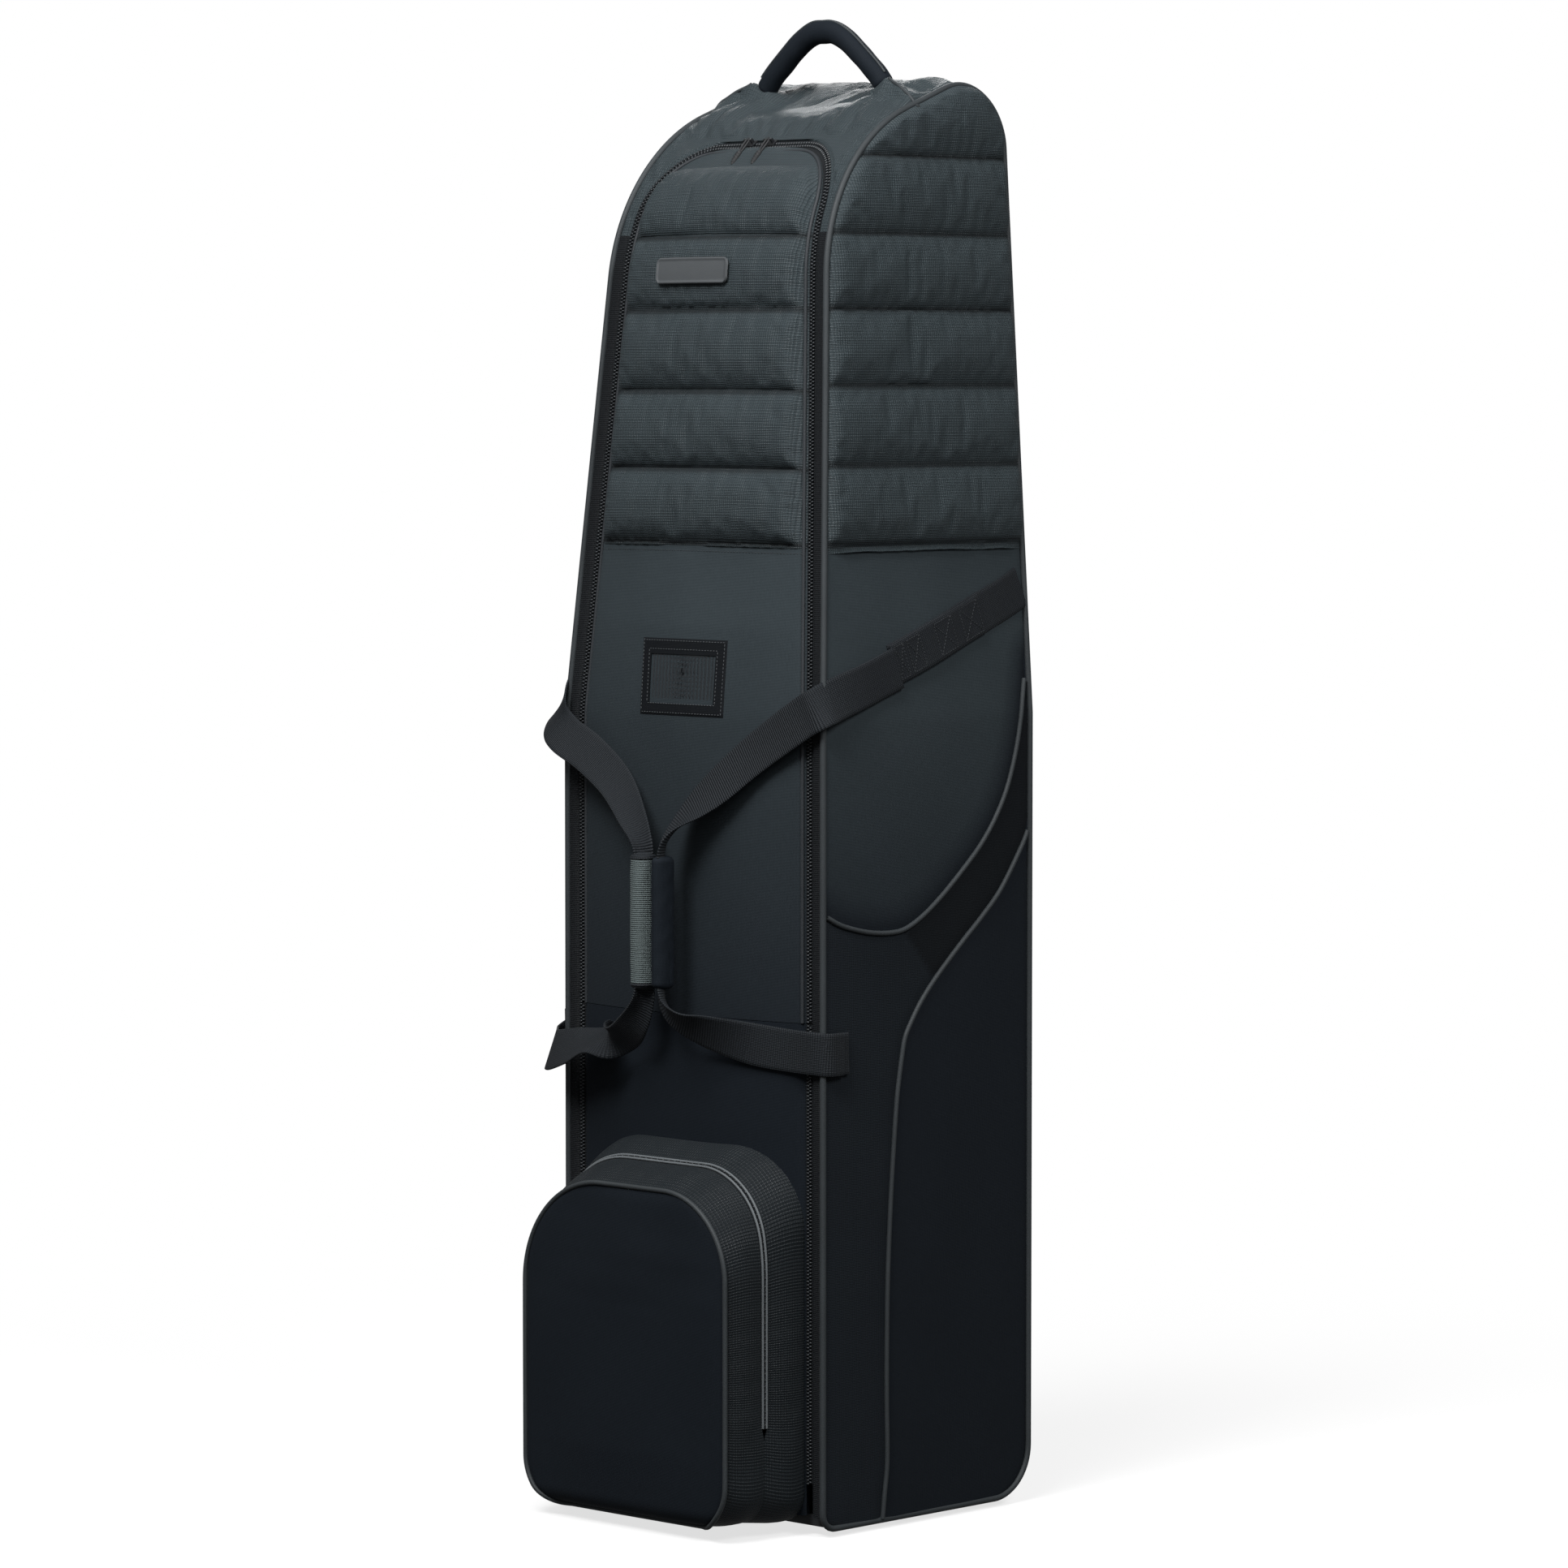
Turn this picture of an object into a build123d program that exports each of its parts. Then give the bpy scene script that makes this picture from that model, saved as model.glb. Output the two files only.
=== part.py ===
from build123d import *
import os
from math import atan, cos, degrees, radians, sin, sqrt, tan

# Wheeled, padded travel case for a golf bag.  Millimetres, +Z up, the front (zipped door and
# pocket) faces -Y, and the origin is on the floor under the middle of the case.

os.makedirs("parts", exist_ok=True)

# Overall sizes
body_width = 320.0
body_depth = 270.0
front_corner_z = 1222.0      # where the leaning front would meet the sloping top
taper_start = 720.0          # below this height the sides and the front are upright
underside = 8.0              # the tray's underside above the floor
front_lean = 4.5             # degrees
side_lean = 3.75             # degrees
top_slope = 19.1             # degrees
front_top_radius = 172.0
rear_top_radius = 60.0
rear_bottom_radius = 45.0
front_bottom_radius = 12.0
wall = 10.0                  # padded panel: skin, foam and lining
back_seam_drop = 84.0        # top of the back panel below the rear top corner

# Skid rails, base and wheels
rail_height = 6.0
rail_width = 16.0
rail_spacing = 140.0
rail_bottom_z = 100.0
rail_length = 330.0
rail_chamfer = 2.0
rail_screw_shares = (0.1, 0.5, 0.9)    # places along a rail
moulding_top_z = 84.0        # top of the wheel housings and of the kick plate
moulding_wall = 4.0
moulding_radius = 48.0       # rounded heel of the moulded parts
tray_thickness = 4.0
wheel_diameter = 70.0
wheel_width = 24.0
wheel_setback = 34.0         # wheel centre in front of the body's back
wheel_gap = 3.0              # clearance round a wheel in its housing
cheek = 8.0                  # housing wall on each side of a wheel
hub_diameter = 46.0
tyre_radius = 6.0            # rounding of the tyre's edges
bearing_diameter = 22.0
bearing_width = 7.0
axle_diameter = 8.0
axle_setback = 1.0           # axle ends inside the housing's faces
hub_bore_gap = 2.0           # between the axle and the hub, which runs on its bearings
running_clearance = 0.05
foot_diameter = 30.0
foot_chamfer = 1.5
foot_inset = 32.0            # foot centre in from the side
foot_setback = 72.0          # foot centre behind the body's front
screw_diameter = 4.0         # its countersunk head is twice as wide

# Main zipper and door
zipper_inset = 17.0          # zipper centre line in from the case's side
zipper_top_z = 1230.0
zipper_corner = 60.0
zipper_end_z = 47.0
tape_width = 4.0             # visible tape and teeth on each side of the centre line
tape_depth = 1.0             # the tape lies this far below the padded skin
tape_thickness = 2.0
zipper_gap = 0.6             # between the two rows of teeth
door_hinge_z = 455.0
fold_gap = 0.4               # clearance along a fabric fold
opening_depth = 130.0        # the door's opening is cut from this far behind the front
gusset_top_z = 1150.0
quilt_bottom_z = 875.0
quilt_top_z = 1200.0
quilt_margin = 8.0           # quilt edge in from the door's edge
quilt_thickness = 13.0
window_rise = 1.0            # window's lower edge above the start of the taper
window_width = 104.0
window_height = 66.0
window_border = 11.0
window_thickness = 2.5
window_radius = 3.5
pane_thickness = 0.8
patch_width = 90.0
patch_height = 21.0
patch_thickness = 2.0
patch_radius = 3.0
patch_x = -12.0
patch_z = 1117.0

# Sliders and pulls
slider_length = 13.0
slider_width = 9.0
slider_thickness = 2.2
slider_lift = 0.8            # underside of a slider above the skin
post_thickness = 1.6         # posts that carry the bail bar
post_depth = 3.0
post_gap = 0.4               # between a post and the pull
post_rise = 0.6              # top of a post above the bail bar's centre
left_slider_x = -19.0
right_slider_x = 6.0
bar_diameter = 1.8           # bail bar that the pull hangs from
bar_height = 7.0
bar_clearance = 0.3          # round the bail bar in the pull's eye
pull_length = 30.0
pull_width = 6.0
pull_thickness = 2.0
pull_droop = 8.0             # degrees towards the skin
pocket_pull_droop = 10.0     # degrees
eye_diameter = 5.0

# Pocket
pocket_depth = 90.0
pocket_rear_width = 276.0
pocket_rear_top_z = 347.0
pocket_front_width = 254.0
pocket_front_top_z = 307.0
pocket_bottom_z = 10.0
pocket_rear_radius = 70.0
pocket_front_radius = 60.0
pocket_bottom_radius = 25.0
pocket_wall = 5.0
pocket_front_band = 45.0     # from the pocket's front to its zipper
pocket_hinge_z = 100.0
pocket_slider_z = 130.0

# Carry straps
web_width = 38.0
web_thickness = 2.0
web_lift = 1.0               # free webbing stands this far off the panels
strap_rear_z = 832.0         # stitched end at the rear edge of the side
strap_free_z = 768.0         # where the stitching ends and the webbing comes free
strap_free_setback = 85.0    # that point behind the body's front
strap_corner_z = 738.0       # upper webbing at the front corner
strap_front_z = 690.0        # upper webbing half way across the front
strap_front_x = 91.0
strap_front_standoff = 14.0  # webbing in front of the body there
strap_end_spread = 10.0      # webbing ends outside and beyond the grip by this much
strap_end_z = 429.0          # lower stitched end, at the front corner
strap_end_length = 19.0
strap_end_setback = 2.0      # lower stitched end behind the body's front
strap_rise = 4.0             # lower webbing climbs this much before it turns to the grip
free_web_width = 30.0        # the free webbing gathers a little
strap_turn = 0.3             # how far its face turns aside at the grips
grip_x = 13.0
grip_diameter = 24.0
grip_radius = 6.0            # rounding of the grip's ends
grip_standoff = 50.0         # grip axis in front of the body's front
grip_bottom_z = 478.0
grip_top_z = 602.0

# Top handle
handle_span = 140.0
handle_foot_z = 1287.0
handle_apex_z = 1334.0
handle_diameter = 20.0
handle_bend = 30.0
handle_setback = 170.0       # handle behind the body's front
core_width = 11.0
core_thickness = 2.5
anchor_gap = 0.4
anchor_length = 42.0
anchor_width = 26.0
anchor_rise = 6.7            # ridge's high end above the handle's foot

# Inside
cinch_heights = {"lower": 520.0, "upper": 900.0}
socket_length = 34.0
socket_height = 42.0
socket_thickness = 9.0
prong_clearance = 0.5
buckle_wall = 2.0
buckle_shoulder = 2.0        # between the slot and the socket's upper and lower walls
buckle_gap = 1.0             # between the socket and the prong's plate
plate_length = 14.0

# Derived places
front_y = -(pocket_depth + body_depth + rail_height) / 2
body_front = front_y + pocket_depth
body_rear = body_front + body_depth
outer_rear = body_rear + rail_height
half = body_width / 2
lean_tan = tan(radians(front_lean))
side_tan = tan(radians(side_lean))
slope_tan = tan(radians(top_slope))
front_corner_y = body_front + (front_corner_z - taper_start) * lean_tan
rear_corner_z = front_corner_z + (body_rear - front_corner_y) * slope_tan
# The front top edge is rounded up to where the rear one starts, at most.
half_turn = radians(90 - front_lean - top_slope) / 2
top_length = (body_rear - front_corner_y) / cos(radians(top_slope))
rear_share = rear_top_radius * tan(radians(90 + top_slope) / 2)
front_room = top_length - rear_share - wall
front_round = min(front_top_radius, front_room / tan(half_turn))
back_top_z = rear_corner_z - back_seam_drop
side_normal = Vector(cos(radians(side_lean)), 0, sin(radians(side_lean)))
front_normal = Vector(0, -cos(radians(front_lean)), sin(radians(front_lean)))
front_plane = Plane(origin=(0, body_front, taper_start), x_dir=(1, 0, 0), z_dir=front_normal)
reach = 3 * max(body_width, body_depth)
tall = 2 * front_corner_z

wheel_radius = wheel_diameter / 2
wheel_y = body_rear - wheel_setback
housing_width = wheel_width + 2 * (wheel_gap + cheek)
housing_x = half - wall - housing_width / 2
housing_front = wheel_y - wheel_radius - wheel_gap - cheek
handle_y = body_front + handle_setback


def finish(builder, name):
    """Label a finished piece and write it under its node's name."""
    builder.part.label = name
    export_step(builder.part, f"parts/{name}.step")


def half_width(z):
    """Half of the case's width at height z."""
    return half - max(0.0, z - taper_start) * side_tan


def block(x, y, z):
    """A box from three (low, high) pairs."""
    with BuildPart() as piece:
        with Locations(((x[0] + x[1]) / 2, (y[0] + y[1]) / 2, (z[0] + z[1]) / 2)):
            Box(x[1] - x[0], y[1] - y[0], z[1] - z[0])
    return piece.part


def side_outline(inset):
    """The body seen from the side, on the YZ plane, `inset` inside the skin."""
    corners = (
        ((body_front, underside), front_bottom_radius),
        ((body_front, taper_start), front_round),
        ((front_corner_y, front_corner_z), front_round),
        ((body_rear, rear_corner_z), rear_top_radius),
        ((body_rear, underside), rear_bottom_radius),
    )
    with BuildSketch(Plane.YZ) as outline:
        with BuildLine():
            Polyline([point for point, _ in corners], close=True)
        make_face()
        for point, radius in corners:
            fillet(outline.vertices().sort_by_distance((*point, 0))[0], radius)
        if inset:
            offset(amount=-inset)
    return outline.sketch


def front_outline(inset):
    """The body seen from the front, on the XZ plane, open upwards past the top."""
    low, high = -underside - wall, tall
    with BuildSketch(Plane.XZ) as outline:
        with BuildLine():
            Polyline(
                (inset - half_width(low), low),
                (half_width(low) - inset, low),
                (half_width(taper_start) - inset, taper_start),
                (half_width(high) - inset, high),
                (inset - half_width(high), high),
                (inset - half_width(taper_start), taper_start),
                close=True,
            )
        make_face()
    return outline.sketch


def zipper_outline(grow, bottom):
    """The door opening's outline, `grow` outside the zipper's centre line, on a plane
    behind the front wall so that it extrudes forwards through it."""
    top = zipper_top_z + grow

    def x_at(z):
        return half_width(z) - zipper_inset + grow

    with BuildSketch(Plane.XZ.offset(-body_front - opening_depth)) as outline:
        with BuildLine():
            Polyline(
                (-x_at(bottom), bottom),
                (x_at(bottom), bottom),
                (x_at(taper_start), taper_start),
                (x_at(top), top),
                (-x_at(top), top),
                (-x_at(taper_start), taper_start),
                close=True,
            )
        make_face()
        fillet(outline.vertices().group_by(Axis.Y)[-1], zipper_corner + grow)
    return outline.sketch


def front_layer(outer_inset, inner_inset, outline):
    """The part of the front wall between two depths, cut to an outline seen from the front."""
    with BuildPart() as layer:
        extrude(side_outline(outer_inset), amount=reach, both=True)
        extrude(side_outline(inner_inset), amount=reach + 1, both=True, mode=Mode.SUBTRACT)
        extrude(outline, amount=reach, mode=Mode.INTERSECT)
        extrude(front_outline(0), amount=reach, both=True, mode=Mode.INTERSECT)
    return layer.part


def arch_outline(plane, width, top, bottom, top_radius, bottom_radius):
    """Pocket section: a rectangle with large upper and smaller lower corners."""
    with BuildSketch(plane) as outline:
        with Locations((0, (top + bottom) / 2)):
            Rectangle(width, top - bottom)
        fillet(outline.vertices().group_by(Axis.Y)[-1], top_radius)
        fillet(outline.vertices().group_by(Axis.Y)[0], bottom_radius)
    return outline.sketch


def pocket_form(inset):
    """The pocket's outside, `inset` inside its skin, against the body's front."""
    rear_plane = Plane.XZ.offset(-body_front)
    front_plane_y = Plane.XZ.offset(-front_y - inset)
    rear = arch_outline(
        rear_plane,
        pocket_rear_width - 2 * inset,
        pocket_rear_top_z - inset,
        pocket_bottom_z + inset,
        pocket_rear_radius - inset,
        pocket_bottom_radius - inset,
    )
    front = arch_outline(
        front_plane_y,
        pocket_front_width - 2 * inset,
        pocket_front_top_z - inset,
        pocket_bottom_z + inset,
        pocket_front_radius - inset,
        pocket_bottom_radius - inset,
    )
    with BuildPart() as form:
        loft(sections=[rear.face(), front.face()])
    return form.part


def pocket_layer(outer_inset, inner_inset, y, z):
    """The part of the pocket's wall between two depths and inside a (y, z) window."""
    with BuildPart() as layer:
        add(pocket_form(outer_inset))
        add(pocket_form(inner_inset), mode=Mode.SUBTRACT)
        add(block((-reach, reach), y, z), mode=Mode.INTERSECT)
    return layer.part


def ribbon(points, normals, width, thickness):
    """Flat webbing along straight runs; each run has its own outward normal."""
    with BuildPart() as band:
        for start, end, normal in zip(points, points[1:], normals):
            run = end - start
            across = normal.cross(run)
            plane = Plane(origin=(start + end) / 2, x_dir=run, z_dir=run.cross(across))
            with Locations(plane):
                Box(run.length + width / 4, width, thickness)
    return band.part


def screw_row(plane, places, diameter, length):
    """Identical countersunk screws set into a plane, pointing into the material."""
    with BuildPart(plane) as screws:
        for x, y in places:
            with Locations((x, y, -length / 2)):
                Cylinder(diameter / 2, length)
            with Locations((x, y, -diameter / 4)):
                Cone(diameter / 2, diameter, diameter / 2)
    return screws


# Body panels
with BuildPart() as ring_form:
    extrude(side_outline(0), amount=reach, both=True)
    extrude(side_outline(wall), amount=reach + 1, both=True, mode=Mode.SUBTRACT)
    extrude(front_outline(0), amount=reach, both=True, mode=Mode.INTERSECT)

rail_places = [
    (side * rail_spacing / 2, rail_bottom_z + rail_length * share)
    for side in (-1, 1)
    for share in rail_screw_shares
]
back_face = Plane(origin=(0, outer_rear, 0), x_dir=(-1, 0, 0), z_dir=(0, 1, 0))
rail_screws = screw_row(back_face, rail_places, screw_diameter, rail_height + wall)

with BuildPart() as back_panel:
    add(ring_form.part)
    keep_y = (body_rear - wall, outer_rear)
    add(block((-reach, reach), keep_y, (moulding_top_z, back_top_z)), mode=Mode.INTERSECT)
    add(rail_screws.part, mode=Mode.SUBTRACT)
finish(back_panel, "back_panel")
finish(rail_screws, "rail_screws")

with BuildPart() as skid_rails:
    for side in (-1, 1):
        with Locations((
            side * rail_spacing / 2,
            body_rear + rail_height / 2,
            rail_bottom_z + rail_length / 2,
        )):
            Box(rail_width, rail_height, rail_length)
    chamfer(skid_rails.faces().sort_by(Axis.Y)[-2:].edges(), rail_chamfer)
    add(rail_screws.part, mode=Mode.SUBTRACT)
finish(skid_rails, "skid_rails")

with BuildPart() as top_panel:
    add(ring_form.part)
    add(block((-reach, reach), (-reach, reach), (gusset_top_z, tall)), mode=Mode.INTERSECT)
    below_top = block((-reach, reach), (handle_y, reach), (gusset_top_z - 1, back_top_z))
    add(below_top, mode=Mode.SUBTRACT)
    extrude(zipper_outline(tape_width, door_hinge_z), amount=reach, mode=Mode.SUBTRACT)
finish(top_panel, "top_panel")

for side, sign in (("left", -1), ("right", 1)):
    with BuildPart() as side_panel:
        extrude(side_outline(wall), amount=reach, both=True)
        extrude(front_outline(0), amount=reach, both=True, mode=Mode.INTERSECT)
        extrude(front_outline(wall), amount=reach, both=True, mode=Mode.SUBTRACT)
        keep_x = sorted((0, sign * reach))
        add(block(keep_x, (-reach, reach), (-tall, tall)), mode=Mode.INTERSECT)
    finish(side_panel, f"{side}_side_panel")

    with BuildPart() as gusset:
        add(ring_form.part)
        keep_y = (body_front - wall, handle_y)
        keep_z = (underside + wall, gusset_top_z)
        add(block(keep_x, keep_y, keep_z), mode=Mode.INTERSECT)
        extrude(zipper_outline(tape_width, 0), amount=reach, mode=Mode.SUBTRACT)
    finish(gusset, f"{side}_front_gusset")

with BuildPart() as lower_front_panel:
    add(front_layer(0, wall, zipper_outline(-tape_width, underside + wall)))
    keep_y = (body_front, body_front + wall)
    add(block((-reach, reach), keep_y, (0, door_hinge_z)), mode=Mode.INTERSECT)
finish(lower_front_panel, "lower_front_panel")

# Main zipper
tape_floor = tape_depth + tape_thickness


def zipper_band(outer_grow, inner_grow, bottom):
    """A strip of tape with its teeth, between two offsets from the zipper's centre line."""
    with BuildPart() as band:
        add(front_layer(tape_depth, tape_floor, zipper_outline(outer_grow, bottom)))
        cut = zipper_outline(inner_grow, bottom)
        extrude(cut, amount=reach, mode=Mode.SUBTRACT)
    return band.part


with BuildPart() as shell_zipper_half:
    add(zipper_band(tape_width, zipper_gap / 2, door_hinge_z))
finish(shell_zipper_half, "shell_zipper_half")

with BuildPart() as lower_zipper_runs:
    add(zipper_band(tape_width, -tape_width, zipper_end_z))
    keep = block((-reach, reach), (-reach, reach), (zipper_end_z, door_hinge_z))
    add(keep, mode=Mode.INTERSECT)
finish(lower_zipper_runs, "lower_zipper_runs")

with BuildPart() as door_zipper_half:
    add(zipper_band(-zipper_gap / 2, -tape_width, door_hinge_z + fold_gap))
finish(door_zipper_half, "door_zipper_half")

# Door
with BuildPart() as door_panel:
    add(front_layer(0, wall, zipper_outline(-tape_width, door_hinge_z + fold_gap)))
finish(door_panel, "door_panel")

with BuildPart() as door_quilt_pad:
    quilt = zipper_outline(-tape_width - quilt_margin, door_hinge_z)
    add(front_layer(-quilt_thickness, 0, quilt))
    keep = block((-reach, reach), (-reach, handle_y), (quilt_bottom_z, quilt_top_z))
    add(keep, mode=Mode.INTERSECT)
finish(door_quilt_pad, "door_quilt_pad")

window_y = window_rise + window_height / 2
along_front = Axis((0, 0, 0), front_normal)
with BuildPart(front_plane) as id_window_frame:
    with Locations((0, window_y, window_thickness / 2)):
        Box(window_width, window_height, window_thickness)
    fillet(id_window_frame.edges().filter_by(along_front), window_radius)
    with Locations((0, window_y, window_thickness / 2)):
        Box(
            window_width - 2 * window_border,
            window_height - 2 * window_border,
            window_thickness,
            mode=Mode.SUBTRACT,
        )
finish(id_window_frame, "id_window_frame")

with BuildPart(front_plane) as id_window_pane:
    with Locations((0, window_y, pane_thickness)):
        Box(
            window_width - 2 * window_border,
            window_height - 2 * window_border,
            pane_thickness,
        )
finish(id_window_pane, "id_window_pane")

with BuildPart(front_plane) as rubber_patch:
    patch_y = (patch_z - taper_start) / cos(radians(front_lean))
    with Locations((patch_x, patch_y, quilt_thickness + patch_thickness / 2)):
        Box(patch_width, patch_height, patch_thickness)
    fillet(rubber_patch.edges().filter_by(along_front), patch_radius)
finish(rubber_patch, "rubber_patch")

# Sliders and pulls


def zip_slider(plane, length, width):
    """Slider body with a bail bar along the plane's X, above two posts."""
    post_x = pull_width / 2 + post_gap + post_thickness / 2
    post_top = bar_height + post_rise
    with BuildPart(plane) as slider:
        with Locations((0, 0, slider_lift + slider_thickness / 2)):
            Box(length, width, slider_thickness)
        for x in (-post_x, post_x):
            with Locations((x, 0, (slider_lift + post_top) / 2)):
                Box(post_thickness, post_depth, post_top - slider_lift)
        with Locations((0, 0, bar_height)):
            Cylinder(bar_diameter / 2, 2 * post_x, rotation=(0, 90, 0))
    return slider


def zip_pull(plane, droop):
    """Pull tab with an eye round the bail bar, hanging down the plane's -Y."""
    tilted = plane.z_dir.rotate(Axis((0, 0, 0), plane.x_dir), droop)
    bar_centre = plane.from_local_coords((0, 0, bar_height))
    hang = Plane(origin=bar_centre, x_dir=plane.x_dir, z_dir=tilted)
    bore_radius = bar_diameter / 2 + bar_clearance
    with BuildPart(hang) as pull:
        Cylinder(eye_diameter / 2, pull_width, rotation=(0, 90, 0))
        with Locations((0, -pull_length / 2, 0)):
            Box(pull_width, pull_length, pull_thickness)
        with Locations((0, -pull_length, 0)):
            Cylinder(pull_width / 2, pull_thickness)
        Cylinder(bore_radius, 2 * pull_width, rotation=(0, 90, 0), mode=Mode.SUBTRACT)
    return pull


# The skin's rounded front top edge: centre of its arc, and the point at the zipper's height.
arc_reach = front_round / cos(half_turn)
bisector = radians(90 - front_lean) - half_turn
arc_y = front_corner_y + arc_reach * sin(bisector)
arc_z = front_corner_z - arc_reach * cos(bisector)
skin_y = arc_y - sqrt(front_round**2 - (zipper_top_z - arc_z) ** 2)
skin_normal = Vector(0, skin_y - arc_y, zipper_top_z - arc_z).normalized()

for side, x in (("left", left_slider_x), ("right", right_slider_x)):
    seat = Plane(origin=(x, skin_y, zipper_top_z), x_dir=(1, 0, 0), z_dir=skin_normal)
    finish(zip_slider(seat, slider_length, slider_width), f"{side}_slider")
    finish(zip_pull(seat, pull_droop), f"{side}_pull")

# Pocket
pocket_zip_y = front_y + pocket_front_band
front_edge_y = pocket_zip_y - tape_width
rear_edge_y = pocket_zip_y + tape_width
above = (pocket_hinge_z + fold_gap, tall)
from_floor = (0, tall)

with BuildPart() as pocket_rear_gusset:
    add(pocket_layer(0, pocket_wall, (rear_edge_y, body_front), from_floor))
finish(pocket_rear_gusset, "pocket_rear_gusset")

with BuildPart() as pocket_lower_shell:
    add(pocket_layer(0, pocket_wall, (front_y, rear_edge_y), (0, pocket_hinge_z)))
finish(pocket_lower_shell, "pocket_lower_shell")

with BuildPart() as pocket_front_panel:
    add(pocket_layer(0, pocket_wall, (front_y, front_y + pocket_wall), above))
finish(pocket_front_panel, "pocket_front_panel")

with BuildPart() as pocket_front_gusset:
    add(pocket_layer(0, pocket_wall, (front_y + pocket_wall, front_edge_y), above))
finish(pocket_front_gusset, "pocket_front_gusset")

with BuildPart() as pocket_zipper_front_half:
    strip_y = (front_edge_y, pocket_zip_y - zipper_gap / 2)
    add(pocket_layer(tape_depth, tape_floor, strip_y, above))
finish(pocket_zipper_front_half, "pocket_zipper_front_half")

with BuildPart() as pocket_zipper_rear_half:
    strip_y = (pocket_zip_y + zipper_gap / 2, rear_edge_y)
    add(pocket_layer(tape_depth, tape_floor, strip_y, (pocket_hinge_z, tall)))
finish(pocket_zipper_rear_half, "pocket_zipper_rear_half")

zip_share = pocket_front_band / pocket_depth
pocket_side_lean = degrees(atan((pocket_rear_width - pocket_front_width) / 2 / pocket_depth))
pocket_side_x = (pocket_front_width + (pocket_rear_width - pocket_front_width) * zip_share) / 2
pocket_side_normal = Vector(-cos(radians(pocket_side_lean)), -sin(radians(pocket_side_lean)), 0)
pocket_seat = Plane(
    origin=(-pocket_side_x, pocket_zip_y, pocket_slider_z),
    x_dir=pocket_side_normal.rotate(Axis.Z, 90),
    z_dir=pocket_side_normal,
)
finish(zip_slider(pocket_seat, slider_width, slider_length), "pocket_slider")
finish(zip_pull(pocket_seat, pocket_pull_droop), "pocket_pull")

# Base, housings, wheels


def heel_outline(inset):
    """The moulded heel seen from the side: upright back, rounded heel, flat underside."""
    low, rear = underside - moulding_wall + inset, outer_rear - inset
    with BuildSketch(Plane.YZ) as outline:
        with BuildLine():
            Polyline(
                (housing_front, low),
                (rear, low),
                (rear, moulding_top_z),
                (housing_front, moulding_top_z),
                close=True,
            )
        make_face()
        fillet(outline.vertices().sort_by_distance((rear, low, 0))[0], moulding_radius - inset)
    return outline.sketch


tray_places = [
    (side * (half - foot_inset), body_front + foot_setback) for side in (-1, 1)
]
foot_screws = screw_row(
    Plane.XY.offset(underside + tray_thickness),
    tray_places,
    screw_diameter,
    underside / 2 + tray_thickness,
)
finish(foot_screws, "foot_screws")

with BuildPart() as base_tray:
    tray_y = (body_front + wall, housing_front)
    tray_x = (-half, half)
    add(block(tray_x, tray_y, (underside, underside + wall)))
    hollow_x = (-half + moulding_wall, half - moulding_wall)
    hollow_y = (tray_y[0] + moulding_wall, tray_y[1] - moulding_wall)
    hollow_z = (underside + tray_thickness, tall)
    add(block(hollow_x, hollow_y, hollow_z), mode=Mode.SUBTRACT)
    add(foot_screws.part, mode=Mode.SUBTRACT)
finish(base_tray, "base_tray")

with BuildPart() as front_feet:
    for x, y in tray_places:
        with Locations((x, y, underside / 2)):
            Cylinder(foot_diameter / 2, underside)
    chamfer(front_feet.faces().group_by(Axis.Z)[0].edges(), foot_chamfer)
    add(foot_screws.part, mode=Mode.SUBTRACT)
finish(front_feet, "front_feet")

with BuildPart() as kick_plate:
    inner_edge = housing_x - housing_width / 2
    extrude(heel_outline(0), amount=inner_edge, both=True)
    extrude(heel_outline(moulding_wall), amount=inner_edge, both=True, mode=Mode.SUBTRACT)
    keep = block((-reach, reach), (housing_front, outer_rear), (0, moulding_top_z))
    add(keep, mode=Mode.INTERSECT)
    hollow_top = block(
        (-reach, reach),
        (housing_front, outer_rear - moulding_wall),
        (moulding_top_z - moulding_wall - 1, moulding_top_z),
    )
    add(hollow_top, mode=Mode.SUBTRACT)
    hollow_front = block(
        (-reach, reach),
        (housing_front, housing_front + moulding_wall),
        (underside, moulding_top_z),
    )
    add(hollow_front, mode=Mode.SUBTRACT)
finish(kick_plate, "kick_plate")

axle_length = housing_width - 2 * axle_setback
with BuildPart() as wheel_axles:
    for sign in (-1, 1):
        with Locations((sign * housing_x, wheel_y, wheel_radius)):
            Cylinder(axle_diameter / 2, axle_length, rotation=(0, 90, 0))
finish(wheel_axles, "wheel_axles")

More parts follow.
